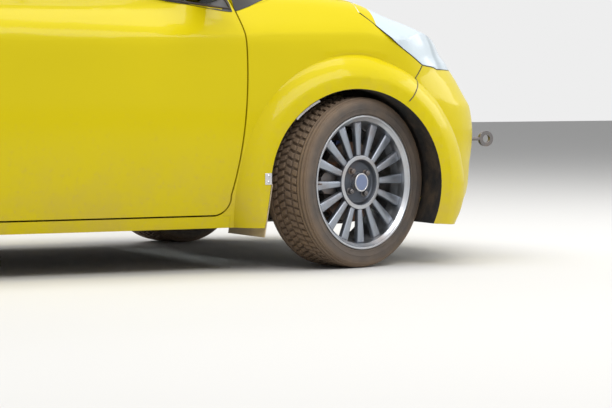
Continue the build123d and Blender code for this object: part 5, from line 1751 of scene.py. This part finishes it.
@dataclass
class EndTrim:
    """Wipers, bonnet pins, blank plates and the strips inside the front arches."""

    arch_radius: float = 0.3315
    arch_centre: Point = (1.17, 0.0, 0.292)

    def wiper(self, name: str, pivot: Point, tip: Point, half_blade: float, skin: Skin) -> None:
        """An arm from its pivot to a blade lying on the windscreen."""
        def above(x: float, y: float, lift: float) -> Vector:
            found = skin.hit((x, y, 1.7), (0, 0, -1))
            return found[0] + found[1] * lift

        start, end = above(pivot[0], pivot[1], 0.010), above(tip[0], tip[1], 0.022)
        middle = above((pivot[0] + tip[0]) / 2, (pivot[1] + tip[1]) / 2, 0.034)
        arm = Bench.rod("arm", [start, middle, end], 0.0045)
        boss = Bench.lathe("boss", [(0.0, -0.012), (0.013, -0.012), (0.013, 0.008), (0.009, 0.013), (0.0, 0.014)], 24,
                           axis=(0, 0, 1), across=(1, 0, 0), centre=start)
        blade_points = [
            above(tip[0] + 0.02 * share, tip[1] + half_blade * share, 0.008)
            for share in (-1, -0.66, -0.33, 0, 0.33, 0.66, 1)
        ]
        blade = Bench.rod("blade", blade_points, 0.0055)
        arm.joined(boss, blade)
        arm.thing.name = f"wiper_{name}"
        arm.done(Finish.TRIM, "car_body", "black_plastic")

    def bonnet_pin(self, name: str, x: float, y: float) -> None:
        """A bonnet pin: dished plate, post and spring clip."""
        found = Skin("bonnet").hit((x, y, 1.4), (0, 0, -1))
        place, normal = found
        plate = Bench.lathe("plate", [(0.0, 0.0), (0.030, 0.0), (0.030, 0.0016), (0.010, 0.0032), (0.0055, 0.0032),
                                      (0.0055, 0.018), (0.0035, 0.021), (0.0, 0.021)], 32, axis=(0, 0, 1),
                            across=(1, 0, 0))
        clip = Bench.rod("clip", [(-0.030, 0.0, 0.0125), (0.0, 0.0, 0.0125), (0.026, 0.004, 0.0125),
                                  (0.030, 0.012, 0.0105), (0.020, 0.014, 0.0085), (-0.012, 0.006, 0.0085)], 0.0014)
        turn = Vector((0, 0, 1)).rotation_difference(normal).to_matrix().to_4x4()
        plate.joined(clip).moved(Matrix.Translation(place) @ turn)
        plate.thing.name = f"bonnet_pin_{name}"
        plate.done(Finish.BRIGHT, "bonnet", "steel")

    def plate(self, name: str, body: str, place: Point, look: float, size: tuple[float, float]) -> None:
        """A blank number plate with a pressed border and two screws."""
        bench = Bench("plate", "cube", size=1.0, scale=(0.006, size[0], size[1]))
        bench.faces(
            lambda centre, normal: normal.x > 0.9,
            lambda: (
                bpy.ops.mesh.inset(thickness=0.008, depth=0.0), bpy.ops.mesh.inset(thickness=0.0015, depth=-0.0012)
            ),
        )
        screws = [Bench.lathe("screw", [(0.0, 0.0), (0.005, 0.0), (0.004, 0.002), (0.0, 0.003)], 16, axis=(1, 0, 0),
                              across=(0, 1, 0), centre=(0.0015, across * size[0] * 0.32, 0)) for across in (-1, 1)]
        bench.bevel(0.0012, 2).joined(*screws)
        bench.moved(Matrix.Translation(place) @ Matrix.Rotation(math.radians(look), 4, "Z"))
        bench.thing.name = f"plate_{name}"
        white = bpy.data.materials.get("plate_white") or Moulding(
            "plate_white", (0.78, 0.78, 0.76), 0.35, 500.0, 0.00008, 0.35).material()
        bench.done(white, body, "black_plastic")

    def arch_strip(self, name: str, sign: int) -> None:
        """A bright strip along the inner edge of the arch, behind the wheel's top."""
        bench = Bench(
            "strip", "cube", size=1.0, location=(0, 0.8520, self.arch_radius - 0.0070), scale=(0.0085, 0.0015, 0.0075)
        )
        copies = []
        for step in range(14):
            angle = math.radians(-27 - step * 1.35)
            copies.append(Bench.copy("strip", bench.thing).moved(Matrix.Rotation(angle, 4, "Y")))
        bpy.data.objects.remove(bench.thing)
        copies[0].joined(*copies[1:])
        copies[0].moved(Matrix.Translation(self.arch_centre)).moved(hand(sign))
        copies[0].thing.name = f"arch_strip_{name}"
        copies[0].done(Finish.PLATE, "car_body", "steel")

    def build(self) -> None:
        """Build the trim at both ends."""
        screen = Skin("windscreen", "cowl_panel")
        self.wiper("right", (0.935, -0.100, 0), (0.845, -0.330, 0), 0.250, screen)
        self.wiper("left", (0.905, 0.340, 0), (0.840, 0.090, 0), 0.270, screen)
        self.bonnet_pin("right", 1.600, -0.330)
        self.bonnet_pin("left", 1.600, 0.330)
        front = Skin("front_bumper", "grille").hit((2.2, 0.0, 0.475), (-1, 0, 0))[0]
        self.plate("front", "car_body", (front.x + 0.0035, 0.0, 0.475), 0.0, (0.440, 0.100))
        rear = Skin("rear_bumper").hit((-2.2, 0.0, 0.520), (1, 0, 0))[0]
        self.plate("rear", "car_body", (rear.x - 0.0035, 0.0, 0.520), 180.0, (0.440, 0.100))
        for name, sign in (("right", -1), ("left", 1)):
            self.arch_strip(name, sign)
        log.info("end trim")


@dataclass
class EngineBay:
    """What shows with the bonnet up: cam cover, air box, battery, tank, hoses, radiator and strut brace."""

    def box(self, name: str, place: Point, size: Point, finish: Finish, slot: str, inset: float = 0.0) -> None:
        """A rounded housing with a raised lid."""
        bench = Bench(name, "cube", size=1.0, location=place, scale=size)
        bench.faces(
            lambda centre, normal: normal.z > 0.9,
            lambda: (bpy.ops.mesh.inset(thickness=max(inset, 0.004), depth=0.0), bpy.ops.mesh.extrude_region_move(
                TRANSFORM_OT_translate={"value": (0, 0, size[2] * 0.08)})),
        )
        bench.bevel(min(size) * 0.06, 3).done(finish, "car_body", slot)

    def build(self) -> None:
        """Dress the engine bay."""
        cover = Bench("cam_cover", "cube", size=1.0, location=(1.360, -0.080, 0.806), scale=(0.200, 0.440, 0.052))
        cover.edit(lambda: bpy.ops.mesh.subdivide(number_cuts=8))
        for corner in cover.mesh.vertices:
            if corner.co.z > 0.82:
                corner.co.z += 0.007 if round((corner.co.y + 0.300) / 0.049) % 2 else 0.0
                corner.co.x = 1.360 + (corner.co.x - 1.360) * 0.88
        cover.bevel(0.002, 2).done(Finish.COVER, "car_body", "iron")
        self.box("air_box", (1.560, 0.300, 0.660), (0.160, 0.180, 0.150), Finish.TRIM, "black_plastic", 0.010)
        self.box("battery", (1.000, 0.300, 0.560), (0.170, 0.150, 0.170), Finish.TRIM, "black_plastic", 0.008)
        self.box("coolant_tank", (0.980, -0.330, 0.620), (0.130, 0.150, 0.140), Finish.FLAP, "black_plastic", 0.020)
        for tag, points, radius, finish in (
            ("intake", [(1.560, 0.240, 0.730), (1.520, 0.160, 0.800), (1.440, 0.120, 0.820), (1.380, 0.100, 0.800)],
             0.030, Finish.TRIM),
            ("coolant",
             [(1.280, -0.300, 0.700), (1.180, -0.350, 0.740), (1.060, -0.360, 0.700), (1.000, -0.350, 0.680)],
             0.014, Finish.SEAL),
            ("upper", [(1.420, -0.200, 0.740), (1.560, -0.240, 0.720), (1.660, -0.220, 0.660)], 0.018, Finish.SEAL),
        ):
            Bench.rod(f"hose_{tag}", points, radius).done(finish, "car_body", "black_plastic")
        Bench.rod("strut_brace", [(1.170, -0.560, 0.826), (1.170, 0.0, 0.845), (1.170, 0.560, 0.826)], 0.013).done(
            Finish.BRIGHT, "car_body", "steel")
        for name, sign in (("right", -1), ("left", 1)):
            mount = Bench.lathe(
                f"strut_mount_{name}", [(0.0, 0.0), (0.062, 0.0), (0.062, 0.006), (0.030, 0.010), (0.024, 0.020),
                                        (0.0, 0.021)], 40, axis=(0, 0, 1), across=(1, 0, 0),
                centre=(1.170, sign * 0.575, 0.8122))
            mount.bevel(0.0006, 2).done(Finish.STEEL, "car_body", "steel")
        radiator = Bench("radiator", "cube", size=1.0, location=(1.700, 0.0, 0.520), scale=(0.036, 0.560, 0.260))
        radiator.edit(lambda: bpy.ops.mesh.subdivide(number_cuts=2))
        radiator.bevel(0.003, 2).done(Finish.ENGINE, "car_body", "alloy")
        log.info("engine bay")


def write_sizes(after: object) -> None:
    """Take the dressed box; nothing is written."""

    def plain(box: object) -> list:
        return [[float(value) for value in corner] for corner in box]


def main() -> None:
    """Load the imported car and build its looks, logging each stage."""
    logging.basicConfig(level=logging.INFO, format="%(name)s: %(message)s")
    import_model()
    Studio().build()
    Forms().build()
    ArchLining().build()
    Panels().build()
    Wheel().build()
    Lamps().build()
    SideTrim().build()
    Cabin().build()
    EndTrim().build()
    EngineBay().build()
    write_sizes(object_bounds())


if __name__ == "__main__":
    main()
